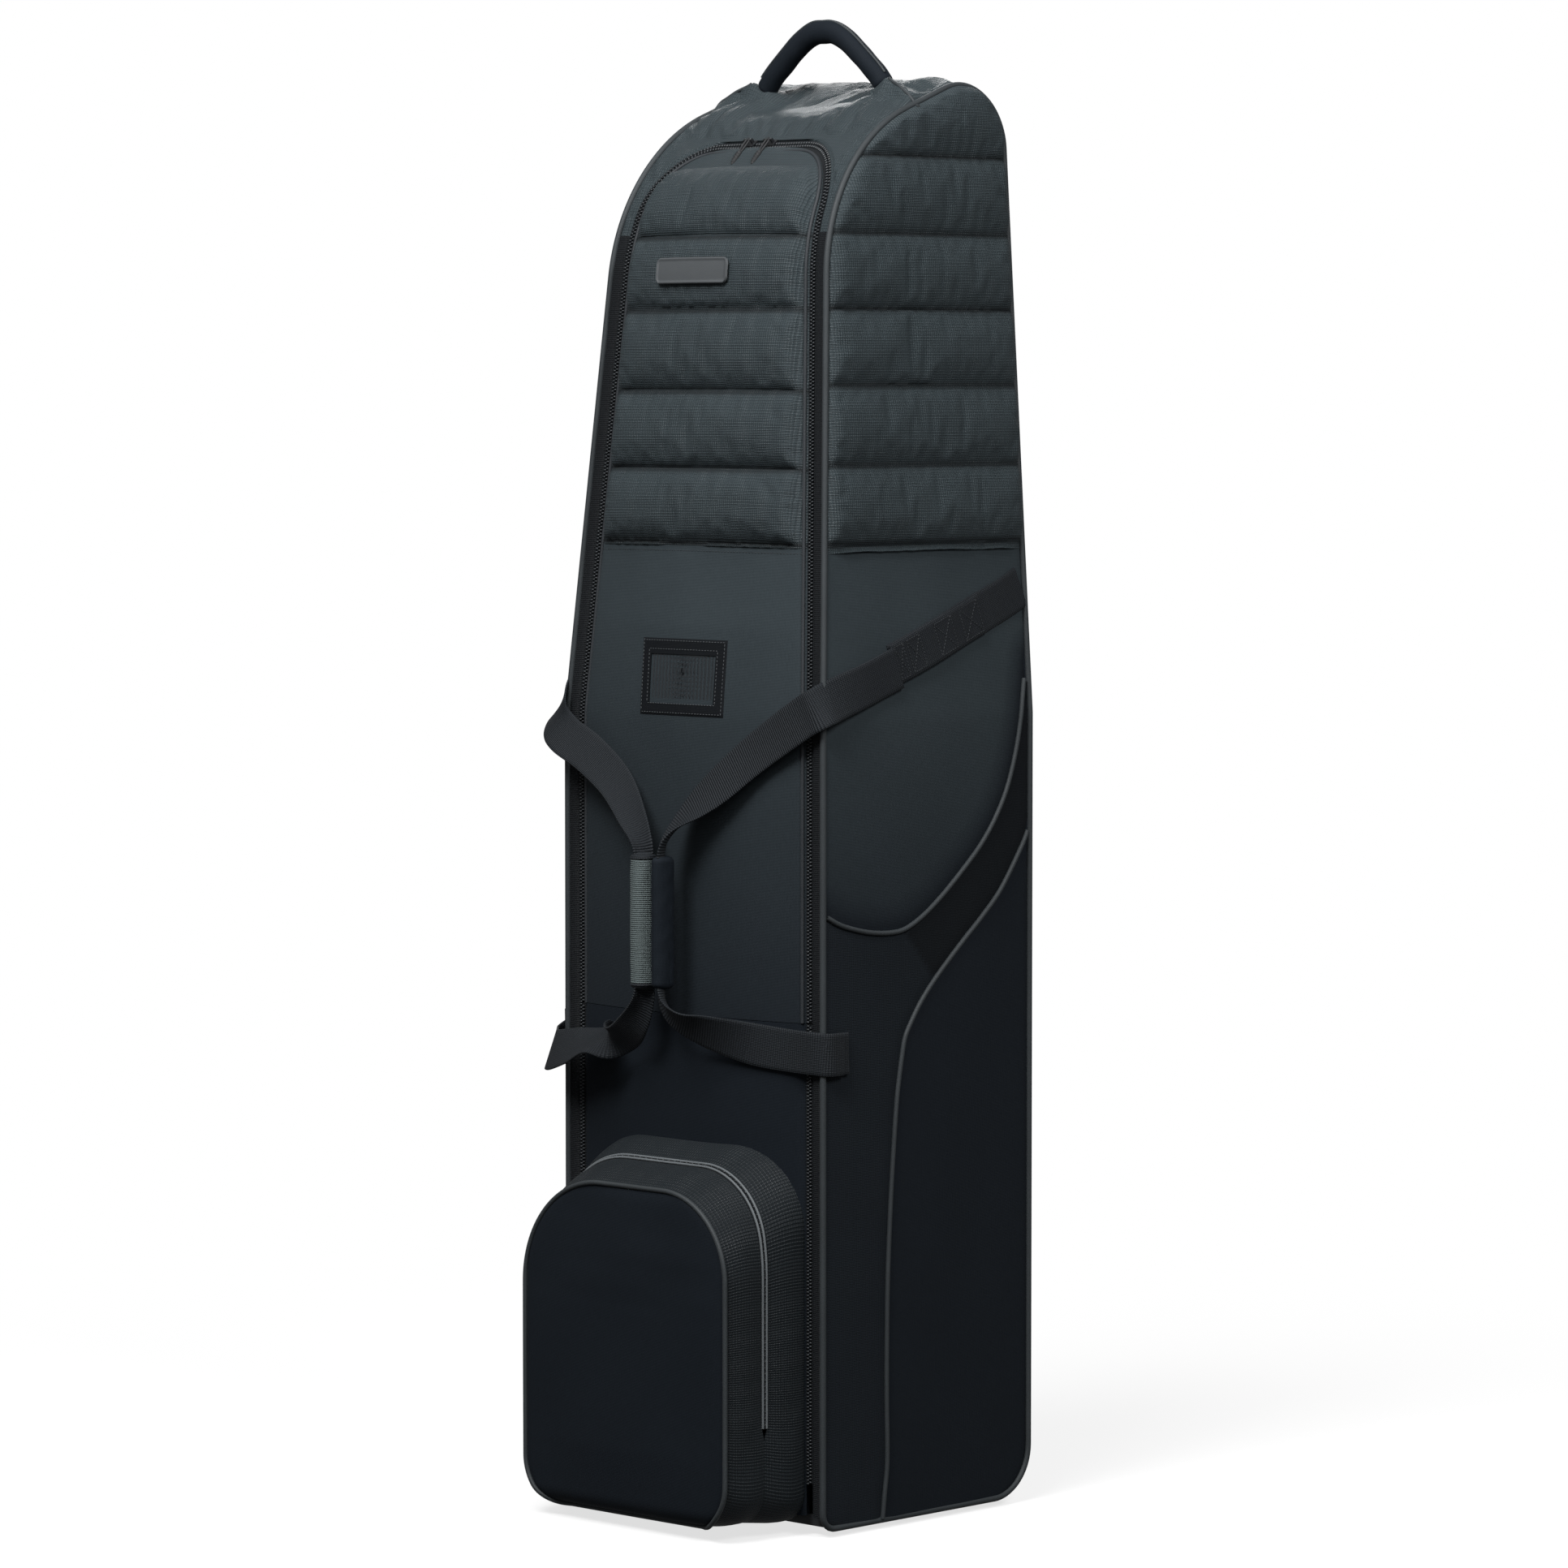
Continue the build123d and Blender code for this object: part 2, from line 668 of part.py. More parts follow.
bearing_x = wheel_width / 2 - bearing_width / 2
for side, sign in (("left", -1), ("right", 1)):
    x = sign * housing_x
    hub_centre = (x, wheel_y, wheel_radius)
    bay_radius = wheel_radius + wheel_gap
    bay_width = wheel_width + 2 * wheel_gap
    with BuildPart() as housing:
        with Locations((x, 0, 0)):
            add(extrude(heel_outline(0), amount=housing_width / 2, both=True, mode=Mode.PRIVATE))
        bay_x = (x - bay_width / 2, x + bay_width / 2)
        bay_y = (wheel_y - bay_radius, outer_rear + 1)
        add(block(bay_x, bay_y, (-1, wheel_radius)), mode=Mode.SUBTRACT)
        with Locations(hub_centre):
            Cylinder(bay_radius, bay_width, rotation=(0, 90, 0), mode=Mode.SUBTRACT)
        add(wheel_axles.part, mode=Mode.SUBTRACT)
    finish(housing, f"{side}_wheel_housing")

    with BuildPart() as tyre:
        with Locations(hub_centre):
            Cylinder(wheel_radius, wheel_width, rotation=(0, 90, 0))
        rims = tyre.edges().filter_by(GeomType.CIRCLE)
        fillet(rims, tyre_radius)
        with Locations(hub_centre):
            Cylinder(
                hub_diameter / 2, wheel_width, rotation=(0, 90, 0), mode=Mode.SUBTRACT
            )
    finish(tyre, f"{side}_tyre")

    with BuildPart() as hub:
        with Locations(hub_centre):
            Cylinder(hub_diameter / 2, wheel_width, rotation=(0, 90, 0))
            Cylinder(
                axle_diameter / 2 + hub_bore_gap, wheel_width, rotation=(0, 90, 0), mode=Mode.SUBTRACT
            )
        for end in (-1, 1):
            with Locations((x + end * bearing_x, wheel_y, wheel_radius)):
                Cylinder(
                    bearing_diameter / 2,
                    bearing_width,
                    rotation=(0, 90, 0),
                    mode=Mode.SUBTRACT,
                )
    finish(hub, f"{side}_hub")

    with BuildPart() as bearings:
        for end in (-1, 1):
            with Locations((x + end * bearing_x, wheel_y, wheel_radius)):
                Cylinder(bearing_diameter / 2, bearing_width, rotation=(0, 90, 0))
        with Locations(hub_centre):
            Cylinder(
                axle_diameter / 2 + running_clearance,
                wheel_width + 1,
                rotation=(0, 90, 0),
                mode=Mode.SUBTRACT,
            )
    finish(bearings, f"{side}_bearings")

# Carry straps
anchor_lift = web_thickness / 2
free_lift = web_thickness + web_lift + web_thickness / 2


def side_point(sign, y, z, lift):
    """A point `lift` outside the case's side at (y, z)."""
    x = half_width(z) + lift / side_normal.X if z > taper_start else half + lift
    return Vector(sign * x, y, z)


strap_free_y = body_front + strap_free_setback
strap_end_y = body_front + 2 * strap_end_setback
with BuildPart() as strap_rear_anchors:
    for sign in (-1, 1):
        outward = Vector(sign * side_normal.X, 0, side_normal.Z)
        rear_end = side_point(sign, body_rear - wall, strap_rear_z, anchor_lift)
        free_end = side_point(sign, strap_free_y, strap_free_z, anchor_lift)
        add(ribbon([rear_end, free_end], [outward], web_width, web_thickness))
finish(strap_rear_anchors, "strap_rear_anchors")

with BuildPart() as strap_front_anchors:
    for sign in (-1, 1):
        anchor_x = sorted((sign * half, sign * (half + web_thickness)))
        anchor_front = body_front + strap_end_setback
        anchor_y = (anchor_front, anchor_front + strap_end_length)
        anchor_z = (strap_end_z - web_width / 2, strap_end_z + web_width / 2)
        add(block(anchor_x, anchor_y, anchor_z))
finish(strap_front_anchors, "strap_front_anchors")

for side, sign in (("left", -1), ("right", 1)):
    grip_y = body_front - grip_standoff
    corner_y = body_front - free_lift
    corner_x = sign * (half + free_lift)
    middle_y = body_front - strap_front_standoff
    end_x = grip_x + strap_end_spread
    upper_points = [
        side_point(sign, strap_free_y, strap_free_z, free_lift),
        Vector(corner_x, corner_y, strap_corner_z),
        Vector(sign * strap_front_x, middle_y, strap_front_z),
        Vector(sign * end_x, grip_y, grip_top_z + strap_end_spread),
    ]
    forward = Vector(0, -1, 0)
    outward = Vector(sign * side_normal.X, 0, side_normal.Z)
    upper_normals = [outward, forward, Vector(-sign * strap_turn, -1, strap_turn)]
    with BuildPart() as upper_web:
        add(ribbon(upper_points, upper_normals, free_web_width, web_thickness))
    finish(upper_web, f"{side}_strap_upper_web")

    lower_points = [
        Vector(corner_x, strap_end_y, strap_end_z),
        Vector(corner_x, corner_y, strap_end_z),
        Vector(sign * strap_front_x, middle_y, strap_end_z + strap_rise),
        Vector(sign * end_x, grip_y, grip_bottom_z - strap_end_spread),
    ]
    lower_normals = [Vector(sign, 0, 0), forward, Vector(-sign * strap_turn, -1, -strap_turn)]
    with BuildPart() as lower_web:
        add(ribbon(lower_points, lower_normals, free_web_width, web_thickness))
    finish(lower_web, f"{side}_strap_lower_web")

    with BuildPart() as grip:
        with Locations((sign * grip_x, grip_y, (grip_bottom_z + grip_top_z) / 2)):
            Cylinder(grip_diameter / 2, grip_top_z - grip_bottom_z)
        fillet(grip.edges().filter_by(GeomType.CIRCLE), grip_radius)
        add(upper_web.part, mode=Mode.SUBTRACT)
        add(lower_web.part, mode=Mode.SUBTRACT)
    finish(grip, f"{side}_grip")

# Top handle
foot_x = handle_span / 2
with BuildPart() as handle_core:
    with BuildLine(Plane.XZ.offset(-handle_y)) as handle_path:
        FilletPolyline(
            (-foot_x, handle_foot_z),
            (0, handle_apex_z),
            (foot_x, handle_foot_z),
            radius=handle_bend,
        )
    with BuildSketch(Plane(origin=handle_path.line @ 0, z_dir=handle_path.line % 0)):
        Rectangle(core_thickness, core_width)
    sweep()
finish(handle_core, "handle_core")

with BuildPart() as handle_sleeve:
    with BuildLine(Plane.XZ.offset(-handle_y)) as sleeve_path:
        add(handle_path.line)
    with BuildSketch(Plane(origin=handle_path.line @ 0, z_dir=handle_path.line % 0)):
        Circle(handle_diameter / 2)
    sweep(path=handle_path.line)
    for sign in (-1, 1):
        with Locations((sign * foot_x, handle_y, handle_foot_z)):
            Sphere(handle_diameter / 2)
    add(handle_core.part, mode=Mode.SUBTRACT)
finish(handle_sleeve, "handle_sleeve")

skin_at_handle = front_corner_z + (handle_y - front_corner_y) * slope_tan
with BuildPart() as handle_anchors:
    for sign in (-1, 1):
        near_x = foot_x + handle_diameter / 2 + anchor_gap
        far_x = near_x + anchor_length
        with BuildSketch(Plane.XZ.offset(-handle_y)):
            with BuildLine():
                Polyline(
                    (sign * near_x, skin_at_handle - wall),
                    (sign * near_x, handle_foot_z + anchor_rise),
                    (sign * far_x, skin_at_handle + web_thickness),
                    (sign * far_x, skin_at_handle - wall),
                    close=True,
                )
            make_face()
        extrude(amount=anchor_width / 2, both=True)
    extrude(side_outline(0), amount=reach, both=True, mode=Mode.SUBTRACT)
finish(handle_anchors, "handle_anchors")

# Cinch straps inside
socket_y = body_rear - wall - socket_thickness / 2
slot_height = socket_height - 2 * (buckle_wall + buckle_shoulder)
slot_thickness = socket_thickness - 2 * buckle_wall
with BuildPart() as cinch_sockets:
    for height in cinch_heights.values():
        with Locations((-socket_length / 2, socket_y, height)):
            Box(socket_length, socket_thickness, socket_height)
        with Locations((-socket_length / 2 + buckle_wall, socket_y, height)):
            Box(socket_length, slot_thickness, slot_height, mode=Mode.SUBTRACT)
finish(cinch_sockets, "cinch_sockets")

with BuildPart() as cinch_webs:
    for height in cinch_heights.values():
        end = half_width(height + web_width / 2) - wall
        add(block(
            (-end, -socket_length),
            (socket_y - web_thickness / 2, socket_y + web_thickness / 2),
            (height - web_width / 2, height + web_width / 2),
        ))
finish(cinch_webs, "cinch_webs")

for name, height in cinch_heights.items():
    with BuildPart() as prong:
        plate = (buckle_gap, buckle_gap + plate_length)
        add(block(
            plate,
            (socket_y - slot_thickness / 2, socket_y + slot_thickness / 2),
            (height - socket_height / 2, height + socket_height / 2),
        ))
        tongue = (2 * buckle_wall - socket_length, plate[0])
        tongue_thickness = slot_thickness - 2 * prong_clearance
        tongue_height = slot_height - 2 * prong_clearance
        add(block(
            tongue,
            (socket_y - tongue_thickness / 2, socket_y + tongue_thickness / 2),
            (height - tongue_height / 2, height + tongue_height / 2),
        ))
    finish(prong, f"{name}_cinch_prong")
    with BuildPart() as prong_web:
        end = half_width(height + web_width / 2) - wall
        add(block(
            (plate[1], end),
            (socket_y - web_thickness / 2, socket_y + web_thickness / 2),
            (height - web_width / 2, height + web_width / 2),
        ))
    finish(prong_web, f"{name}_cinch_web")
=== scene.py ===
import math

import bpy
import numpy as np
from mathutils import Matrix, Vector


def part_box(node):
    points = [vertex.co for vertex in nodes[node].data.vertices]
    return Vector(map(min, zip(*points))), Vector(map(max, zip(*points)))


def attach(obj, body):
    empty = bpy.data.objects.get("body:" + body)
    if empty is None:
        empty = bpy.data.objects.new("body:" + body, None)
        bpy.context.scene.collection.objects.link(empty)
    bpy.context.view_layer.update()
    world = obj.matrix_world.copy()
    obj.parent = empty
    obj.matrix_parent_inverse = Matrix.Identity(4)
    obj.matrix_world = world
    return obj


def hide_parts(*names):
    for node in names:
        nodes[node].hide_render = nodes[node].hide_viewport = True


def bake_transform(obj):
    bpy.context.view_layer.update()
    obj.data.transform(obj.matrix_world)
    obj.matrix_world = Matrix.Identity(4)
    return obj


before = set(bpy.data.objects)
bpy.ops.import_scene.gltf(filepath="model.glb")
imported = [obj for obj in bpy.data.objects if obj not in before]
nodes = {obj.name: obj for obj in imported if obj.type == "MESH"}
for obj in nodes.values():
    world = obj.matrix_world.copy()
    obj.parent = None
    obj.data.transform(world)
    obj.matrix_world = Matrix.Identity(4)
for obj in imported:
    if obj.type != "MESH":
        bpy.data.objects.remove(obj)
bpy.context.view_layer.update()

# Golf travel case. Places below are in millimetres, and meshes are written in metres.
MM = 0.001

BODY_HALF = 160.0
FRONT_Y, REAR_Y = -93.0, 177.0
TAPER_Z = 720.0
SIDE_TAN = math.tan(math.radians(3.75))
FRONT_TAN = math.tan(math.radians(4.5))
SLOPE_TAN = math.tan(math.radians(19.1))
UNDERSIDE = 8.0
SIM_FRAMES = 20
CORNER_Z = 1222.0
ZIP_INSET = 17.0
ZIP_TOP = 1230.0
ZIP_CORNER = 60.0
TAPE = 4.0
DOOR_FOOT = 455.4
QUILT_FOOT = 872.0
SEAM_Z = 866.0
HANDLE_Y = 77.0
WALL = 8.5
PATCH_X, PATCH_Z, PATCH_HALF, PATCH_H, PATCH_CORNER = -12.0, 1115.0, 45.0, 22.0, 6.0
POCKET_FRONT = -183.0
POCKET_ZIP = -138.0
POCKET_FOLD = 100.0


# ---- Tools ----

def clear():
    if bpy.context.mode != "OBJECT":
        bpy.ops.object.mode_set(mode="OBJECT")
    bpy.ops.object.select_all(action="DESELECT")


def pick(piece):
    clear()
    piece.select_set(True)
    bpy.context.view_layer.objects.active = piece


def read(piece):
    co = np.empty(len(piece.data.vertices) * 3)
    piece.data.vertices.foreach_get("co", co)
    return co.reshape(-1, 3)


def write(piece, co):
    piece.data.vertices.foreach_set("co", np.asarray(co, float).ravel())
    piece.data.update()


def edit(piece, *steps):
    """Runs edit-mode operators on all of a piece."""
    pick(piece)
    bpy.ops.object.mode_set(mode="EDIT")
    bpy.ops.mesh.select_all(action="SELECT")
    for step in steps:
        step()
    bpy.ops.object.mode_set(mode="OBJECT")


def finish_with(piece, kind, **settings):
    """Adds a modifier and applies it."""
    pick(piece)
    modifier = piece.modifiers.new(kind.title(), kind)
    for key, value in settings.items():
        setattr(modifier, key, value)
    bpy.ops.object.modifier_apply(modifier=modifier.name)


def look_out(piece, towards):
    """Turns a sheet's faces to look along a direction."""
    area = np.empty(len(piece.data.polygons))
    normal = np.empty(len(area) * 3)
    piece.data.polygons.foreach_get("area", area)
    piece.data.polygons.foreach_get("normal", normal)
    mean = (normal.reshape(-1, 3) * area[:, None]).sum(0)
    if mean @ np.array(towards) < 0:
        edit(piece, lambda: bpy.ops.mesh.flip_normals())


def smooth(piece, angle=60):
    pick(piece)
    bpy.ops.object.shade_smooth_by_angle(angle=math.radians(angle))


def settle(piece, finish, body, replaces=()):
    """Gives a finished piece its material, its body and what it stands for."""
    finishes = finish if isinstance(finish, (list, tuple)) else [finish]
    for i, each in enumerate(finishes):
        if i < len(piece.data.materials):
            piece.data.materials[i] = each
        else:
            piece.data.materials.append(each)
    if body:
        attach(piece, body)
    if replaces:
        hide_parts(*replaces)
    return piece


def fold_door(piece, finish, replaces=()):
    """Settles a piece without a body and bakes its place into its mesh."""
    settle(piece, finish, None, replaces)
    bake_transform(piece)
    return piece


def sheet_of(name, across, along, place, weave, towards):
    """A sheet of small faces: place(u, v) gives points in mm, weave(u, v) the cloth's own mm."""
    clear()
    bpy.ops.mesh.primitive_grid_add(x_subdivisions=across, y_subdivisions=along, size=1)
    sheet = bpy.context.object
    sheet.name = sheet.data.name = name
    flat = read(sheet)
    u, v = flat[:, 0] + 0.5, flat[:, 1] + 0.5
    write(sheet, np.stack(place(u, v), 1) * MM)
    loops = np.empty(len(sheet.data.loops), np.int32)
    sheet.data.loops.foreach_get("vertex_index", loops)
    uv = np.stack(weave(u, v), 1)[loops] * MM
    sheet.data.uv_layers.active.data.foreach_set("uv", uv.ravel())
    look_out(sheet, towards)
    return sheet


def lined(sheet, wall=WALL):
    """Gives a sheet its padded wall, with lining on the inside."""
    sheet.data.materials.append(None)
    sheet.data.materials.append(None)
    finish_with(sheet, "SOLIDIFY", thickness=wall * MM, offset=-1, material_offset=1,
                material_offset_rim=0)
    smooth(sheet)


def stuff(sheet, held, slack=0.012, pressure=2.5, cap=3.0):
    """Lets a sewn sheet swell as cloth between the places that hold it."""
    start = read(sheet)
    group = sheet.vertex_groups.new(name="sewn")
    for level in range(1, 11):
        chosen = np.nonzero(np.round(held * 10) == level)[0]
        group.add([int(i) for i in chosen], level / 10, "REPLACE")
    pick(sheet)
    cloth = sheet.modifiers.new("Cloth", "CLOTH")
    settings = cloth.settings
    settings.vertex_group_mass = "sewn"
    settings.use_pressure = True
    settings.uniform_pressure_force = pressure
    settings.shrink_min = -slack
    settings.effector_weights.gravity = 0
    settings.quality = 6
    cloth.point_cache.frame_end = SIM_FRAMES
    for frame_number in range(1, SIM_FRAMES + 1):
        bpy.context.scene.frame_set(frame_number)
    bpy.ops.object.modifier_apply(modifier=cloth.name)
    bpy.context.scene.frame_set(1)
    move = read(sheet) - start
    size = np.linalg.norm(move, axis=1)[:, None]
    write(sheet, start + move * np.minimum(1, cap * MM / np.maximum(size, 1e-9)))
    sheet.vertex_groups.clear()


def tube(name, points, radius, closed=False, sides=3):
    """A round cord along points in mm."""
    curve = bpy.data.curves.new(name, "CURVE")
    curve.dimensions = "3D"
    curve.bevel_depth = radius * MM
    curve.bevel_resolution = sides
    curve.use_fill_caps = not closed
    line = curve.splines.new("POLY")
    line.points.add(len(points) - 1)
    flat = np.ones((len(points), 4))
    flat[:, :3] = np.asarray(points) * MM
    line.points.foreach_set("co", flat.ravel())
    line.use_cyclic_u = closed
    piece = bpy.data.objects.new(name, curve)
    bpy.context.collection.objects.link(piece)
    pick(piece)
    bpy.ops.object.convert(target="MESH")
    piece = bpy.context.object
    smooth(piece, 80)
    return piece


def strewn(name, piece, places):
    """One mesh of many copies of a modelled piece, each at its own 4x4 place (mm)."""
    co = read(piece)
    faces = [tuple(p.vertices) for p in piece.data.polygons]
    points, polygons = [], []
    for i, place in enumerate(places):
        points.append(co @ place[:3, :3].T + place[:3, 3] * MM)
        polygons += [tuple(k + i * len(co) for k in face) for face in faces]
    mesh = bpy.data.meshes.new(name)
    mesh.from_pydata(np.concatenate(points).tolist(), [], polygons)
    made = bpy.data.objects.new(name, mesh)
    bpy.context.collection.objects.link(made)
    bpy.data.objects.remove(piece)
    smooth(made, 50)
    return made


def joined(name, pieces):
    clear()
    for piece in pieces:
        piece.select_set(True)
    bpy.context.view_layer.objects.active = pieces[0]
    bpy.ops.object.join()
    whole = bpy.context.object
    whole.name = whole.data.name = name
    return whole


# ---- Outlines ----

def rounded(corners, step=2.0):
    """An outline of straight runs and corner arcs from (a, b, radius) corners."""
    points = []
    for i, (a, b, radius) in enumerate(corners):
        here = np.array((a, b))
        back = np.array(corners[i - 1][:2]) - here
        on = np.array(corners[(i + 1) % len(corners)][:2]) - here
        back, on = back / np.linalg.norm(back), on / np.linalg.norm(on)
        if radius == 0:
            points.append(here)
            continue
        half = math.acos(np.clip(back @ on, -1, 1)) / 2
        centre = here + (back + on) / np.linalg.norm(back + on) * radius / math.sin(half)
        first = here + back * radius / math.tan(half) - centre
        last = here + on * radius / math.tan(half) - centre
        start = math.atan2(first[1], first[0])
        turn = math.atan2(last[1], last[0]) - start
        turn = (turn + math.pi) % (2 * math.pi) - math.pi
        for k in np.linspace(0, 1, max(4, int(abs(turn) * radius / step))):
            angle = start + turn * k
            points.append(centre + radius * np.array((math.cos(angle), math.sin(angle))))
    return np.array(points)


def curved(points, count):
    """A smooth line through points."""
    p = np.asarray(points, float)
    p = np.concatenate([[2 * p[0] - p[1]], p, [2 * p[-1] - p[-2]]])
    spans = len(p) - 3
    t = np.linspace(0, spans - 1e-9, count)
    i = t.astype(int)
    f = (t - i)[:, None]
    a, b, c, d = p[i], p[i + 1], p[i + 2], p[i + 3]
    return 0.5 * (2 * b + (c - a) * f + (2 * a - 5 * b + 4 * c - d) * f**2
                  + (3 * b - a - 3 * c + d) * f**3)


class Outline:
    """A flat outline read by the distance along it."""

    def __init__(self, points, step=1.5):
        p = np.asarray(points, float)
        s = np.concatenate([[0], np.cumsum(np.linalg.norm(np.diff(p, axis=0), axis=1))])
        self.s = np.linspace(0, s[-1], int(s[-1] / step))
        self.a = np.interp(self.s, s, p[:, 0])
        self.b = np.interp(self.s, s, p[:, 1])
        self.length = s[-1]
        self.top = int(np.argmax(self.b))
        da, db = np.gradient(self.a), np.gradient(self.b)
        size = np.hypot(da, db)
        self.na, self.nb = -db / size, da / size

    def at(self, s):
        return np.interp(s, self.s, self.a), np.interp(s, self.s, self.b)

    def out(self, s):
        return np.interp(s, self.s, self.na), np.interp(s, self.s, self.nb)

    def rising(self, b):
        """Distance along the outline to height b on the way up."""
        return np.interp(b, self.b[:self.top + 1], self.s[:self.top + 1])

    def falling(self, b):
        return np.interp(b, self.b[self.top:][::-1], self.s[self.top:][::-1])


CORNER_Y = FRONT_Y + (CORNER_Z - TAPER_Z) * FRONT_TAN
REAR_TOP = CORNER_Z + (REAR_Y - CORNER_Y) * SLOPE_TAN
BODY_CORNERS = [
    (0, UNDERSIDE, 0), (FRONT_Y, UNDERSIDE, 14), (FRONT_Y, TAPER_Z, 300),
    (CORNER_Y, CORNER_Z, 172), (REAR_Y, REAR_TOP + 6, 55), (REAR_Y, UNDERSIDE, 45),
    (1, UNDERSIDE, 0),
]
body = Outline(rounded(BODY_CORNERS))
# The outline runs forwards along the underside, up the front, over the top and down the
# back, so its outward normal lies on its left.


def half_width(z):
    return BODY_HALF - np.maximum(0, z - TAPER_Z) * SIDE_TAN


def skin(x, s, lift):
    """A point of the front, top or back, `lift` outside the body."""
    y, z = body.at(s)
    ny, nz = body.out(s)
    return x, y + ny * lift, z + nz * lift


def flank(sign, y, z, lift):
    """A point of a side, `lift` outside the body."""
    lean = np.where(z > TAPER_Z, SIDE_TAN, 0)
    return sign * (half_width(z) + lift), y, z + lift * lean


def door_edge(z, grow):
    """Half the width of the zipper's outline at height z, `grow` outside its line."""
    top, radius = ZIP_TOP + grow, ZIP_CORNER + grow
    rise = np.clip(z - (top - radius), 0, radius)
    return half_width(z) - ZIP_INSET + grow - radius + np.sqrt(radius**2 - rise**2)


def ripple(a, b, size, seed, count=5):
    """Smooth uneven waves about `size` mm long, between about -1 and 1."""
    draw = np.random.RandomState(seed)
    total = 0
    for _ in range(count):
        turn, phase = draw.uniform(0, math.pi), draw.uniform(0, 2 * math.pi)
        pitch = size * draw.uniform(0.7, 1.5)
        total = total + np.sin(2 * math.pi * (a * math.cos(turn) + b * math.sin(turn)) / pitch
                               + phase)
    return total / count


def fold_in(distance, width):
    """Rises from 0 at a sewn edge to 1 at `width` inside it, as a rounded shoulder."""
    t = 1 - np.clip(distance / width, 0, 1)
    return np.sqrt(np.clip(1 - t * t, 0, 1))


def puffs(z, grooves):
    """0 in each sewn groove, 1 in the middle of each puff."""
    total = np.zeros_like(z)
    for low, high in zip(grooves, grooves[1:]):
        t = np.abs(2 * (z - low) / (high - low) - 1)
        inside = t < 1
        total = np.where(inside, (1 - np.clip(t, 0, 1) ** 3.6) ** 0.5, total)
    return total


FRONT_GROOVES = [875, 941, 1010, 1082, 1147, 1207]
SIDE_GROOVES = [876, 945, 1015, 1083, 1150, 1219, 1300]


def near_groove(z, grooves):
    return np.min([np.abs(z - g) for g in grooves], axis=0)


def front_lift(x, z):
    """How far the front's padding stands in front of the body."""
    edge = door_edge(z, -TAPE)
    q = np.clip(np.abs(x) / edge, 0, 1)
    crown = np.interp(z, [8, 120, 360, 800, 890, 1130, 1226], [2, 8, 16, 16, 8, 7, 2])
    lift = crown * (1 - q**2.2)
    inside = edge - np.abs(x)
    lift = lift + 2.2 * fold_in(inside, 9) - 1.2
    quilt_edge = inside - 7
    ends = fold_in(quilt_edge, 12)
    pads = puffs(z, FRONT_GROOVES) * ends * np.where(quilt_edge > 0, 1, 0)
    crease = near_groove(z, FRONT_GROOVES)
    quilted = (z > FRONT_GROOVES[0]) & (z < FRONT_GROOVES[-1])
    pucker = ripple(x * 0.35, z, 9, 3) * np.exp(-np.clip(quilt_edge, 0, None) / 13)
    gather = ripple(x, z * 0.25, 15, 4) * np.exp(-crease / 9)
    lift = lift + np.where(quilted, 10.5 * pads + pads**0.5 * (1.6 * pucker + 0.9 * gather), 0)
    soft = ripple(x, z * 0.5, 120, 5) * 1.1 * (1 - q**4)
    below = np.clip((SEAM_Z - z) / 90, 0, 1)
    drape = ripple(x, z * 0.18, 42, 6) * 1.0 * (1 - below) * (z < SEAM_Z)
    return lift + soft + drape * (1 - q**2)


ROOF = (body.s > body.rising(TAPER_Z + 5)) & (np.arange(len(body.s)) <= body.top)


def side_edges(z):
    s0, s1 = body.rising(z), body.falling(z)
    return body.at(s0)[0], body.at(s1)[0]


CURVE_A = [(-91, 551), (-78, 544), (-63, 539), (-40, 534), (-16, 532), (5, 534), (28, 544),
           (53, 560), (80, 581), (106, 604), (127, 629), (144, 657), (158, 695), (168, 741),
           (175, 770)]
CURVE_B = [(177, 617), (164, 599), (134, 562), (108, 539), (85, 521), (62, 502), (42, 484),
           (27, 468), (16, 453), (7, 438), (3, 422), (-1, 400), (-4, 379), (-8, 335),
           (-11, 292), (-14, 230), (-15, 169), (-15, 110), (-14, 60), (-17, 30), (-19, 9)]
line_a, line_b = curved(CURVE_A, 160), curved(CURVE_B, 220)
cross_seam = np.array([(5, 534), (18, 518), (31, 502), (44, 486)], float)


def beside(y, z, line):
    """Distance to a line drawn on the side, positive on its left."""
    p = np.stack([y, z], 1)
    best = np.full(len(p), 1e9)
    sign = np.ones(len(p))
    for a, b in zip(line, line[1:]):
        run = b - a
        t = np.clip((p - a) @ run / (run @ run), 0, 1)
        off = p - (a + t[:, None] * run)
        d = np.hypot(off[:, 0], off[:, 1])
        closer = d < best - 1e-9
        best = np.where(closer, d, best)
        sign = np.where(closer, np.sign(run[0] * off[:, 1] - run[1] * off[:, 0]), sign)
    return best * np.where(sign == 0, 1, sign)


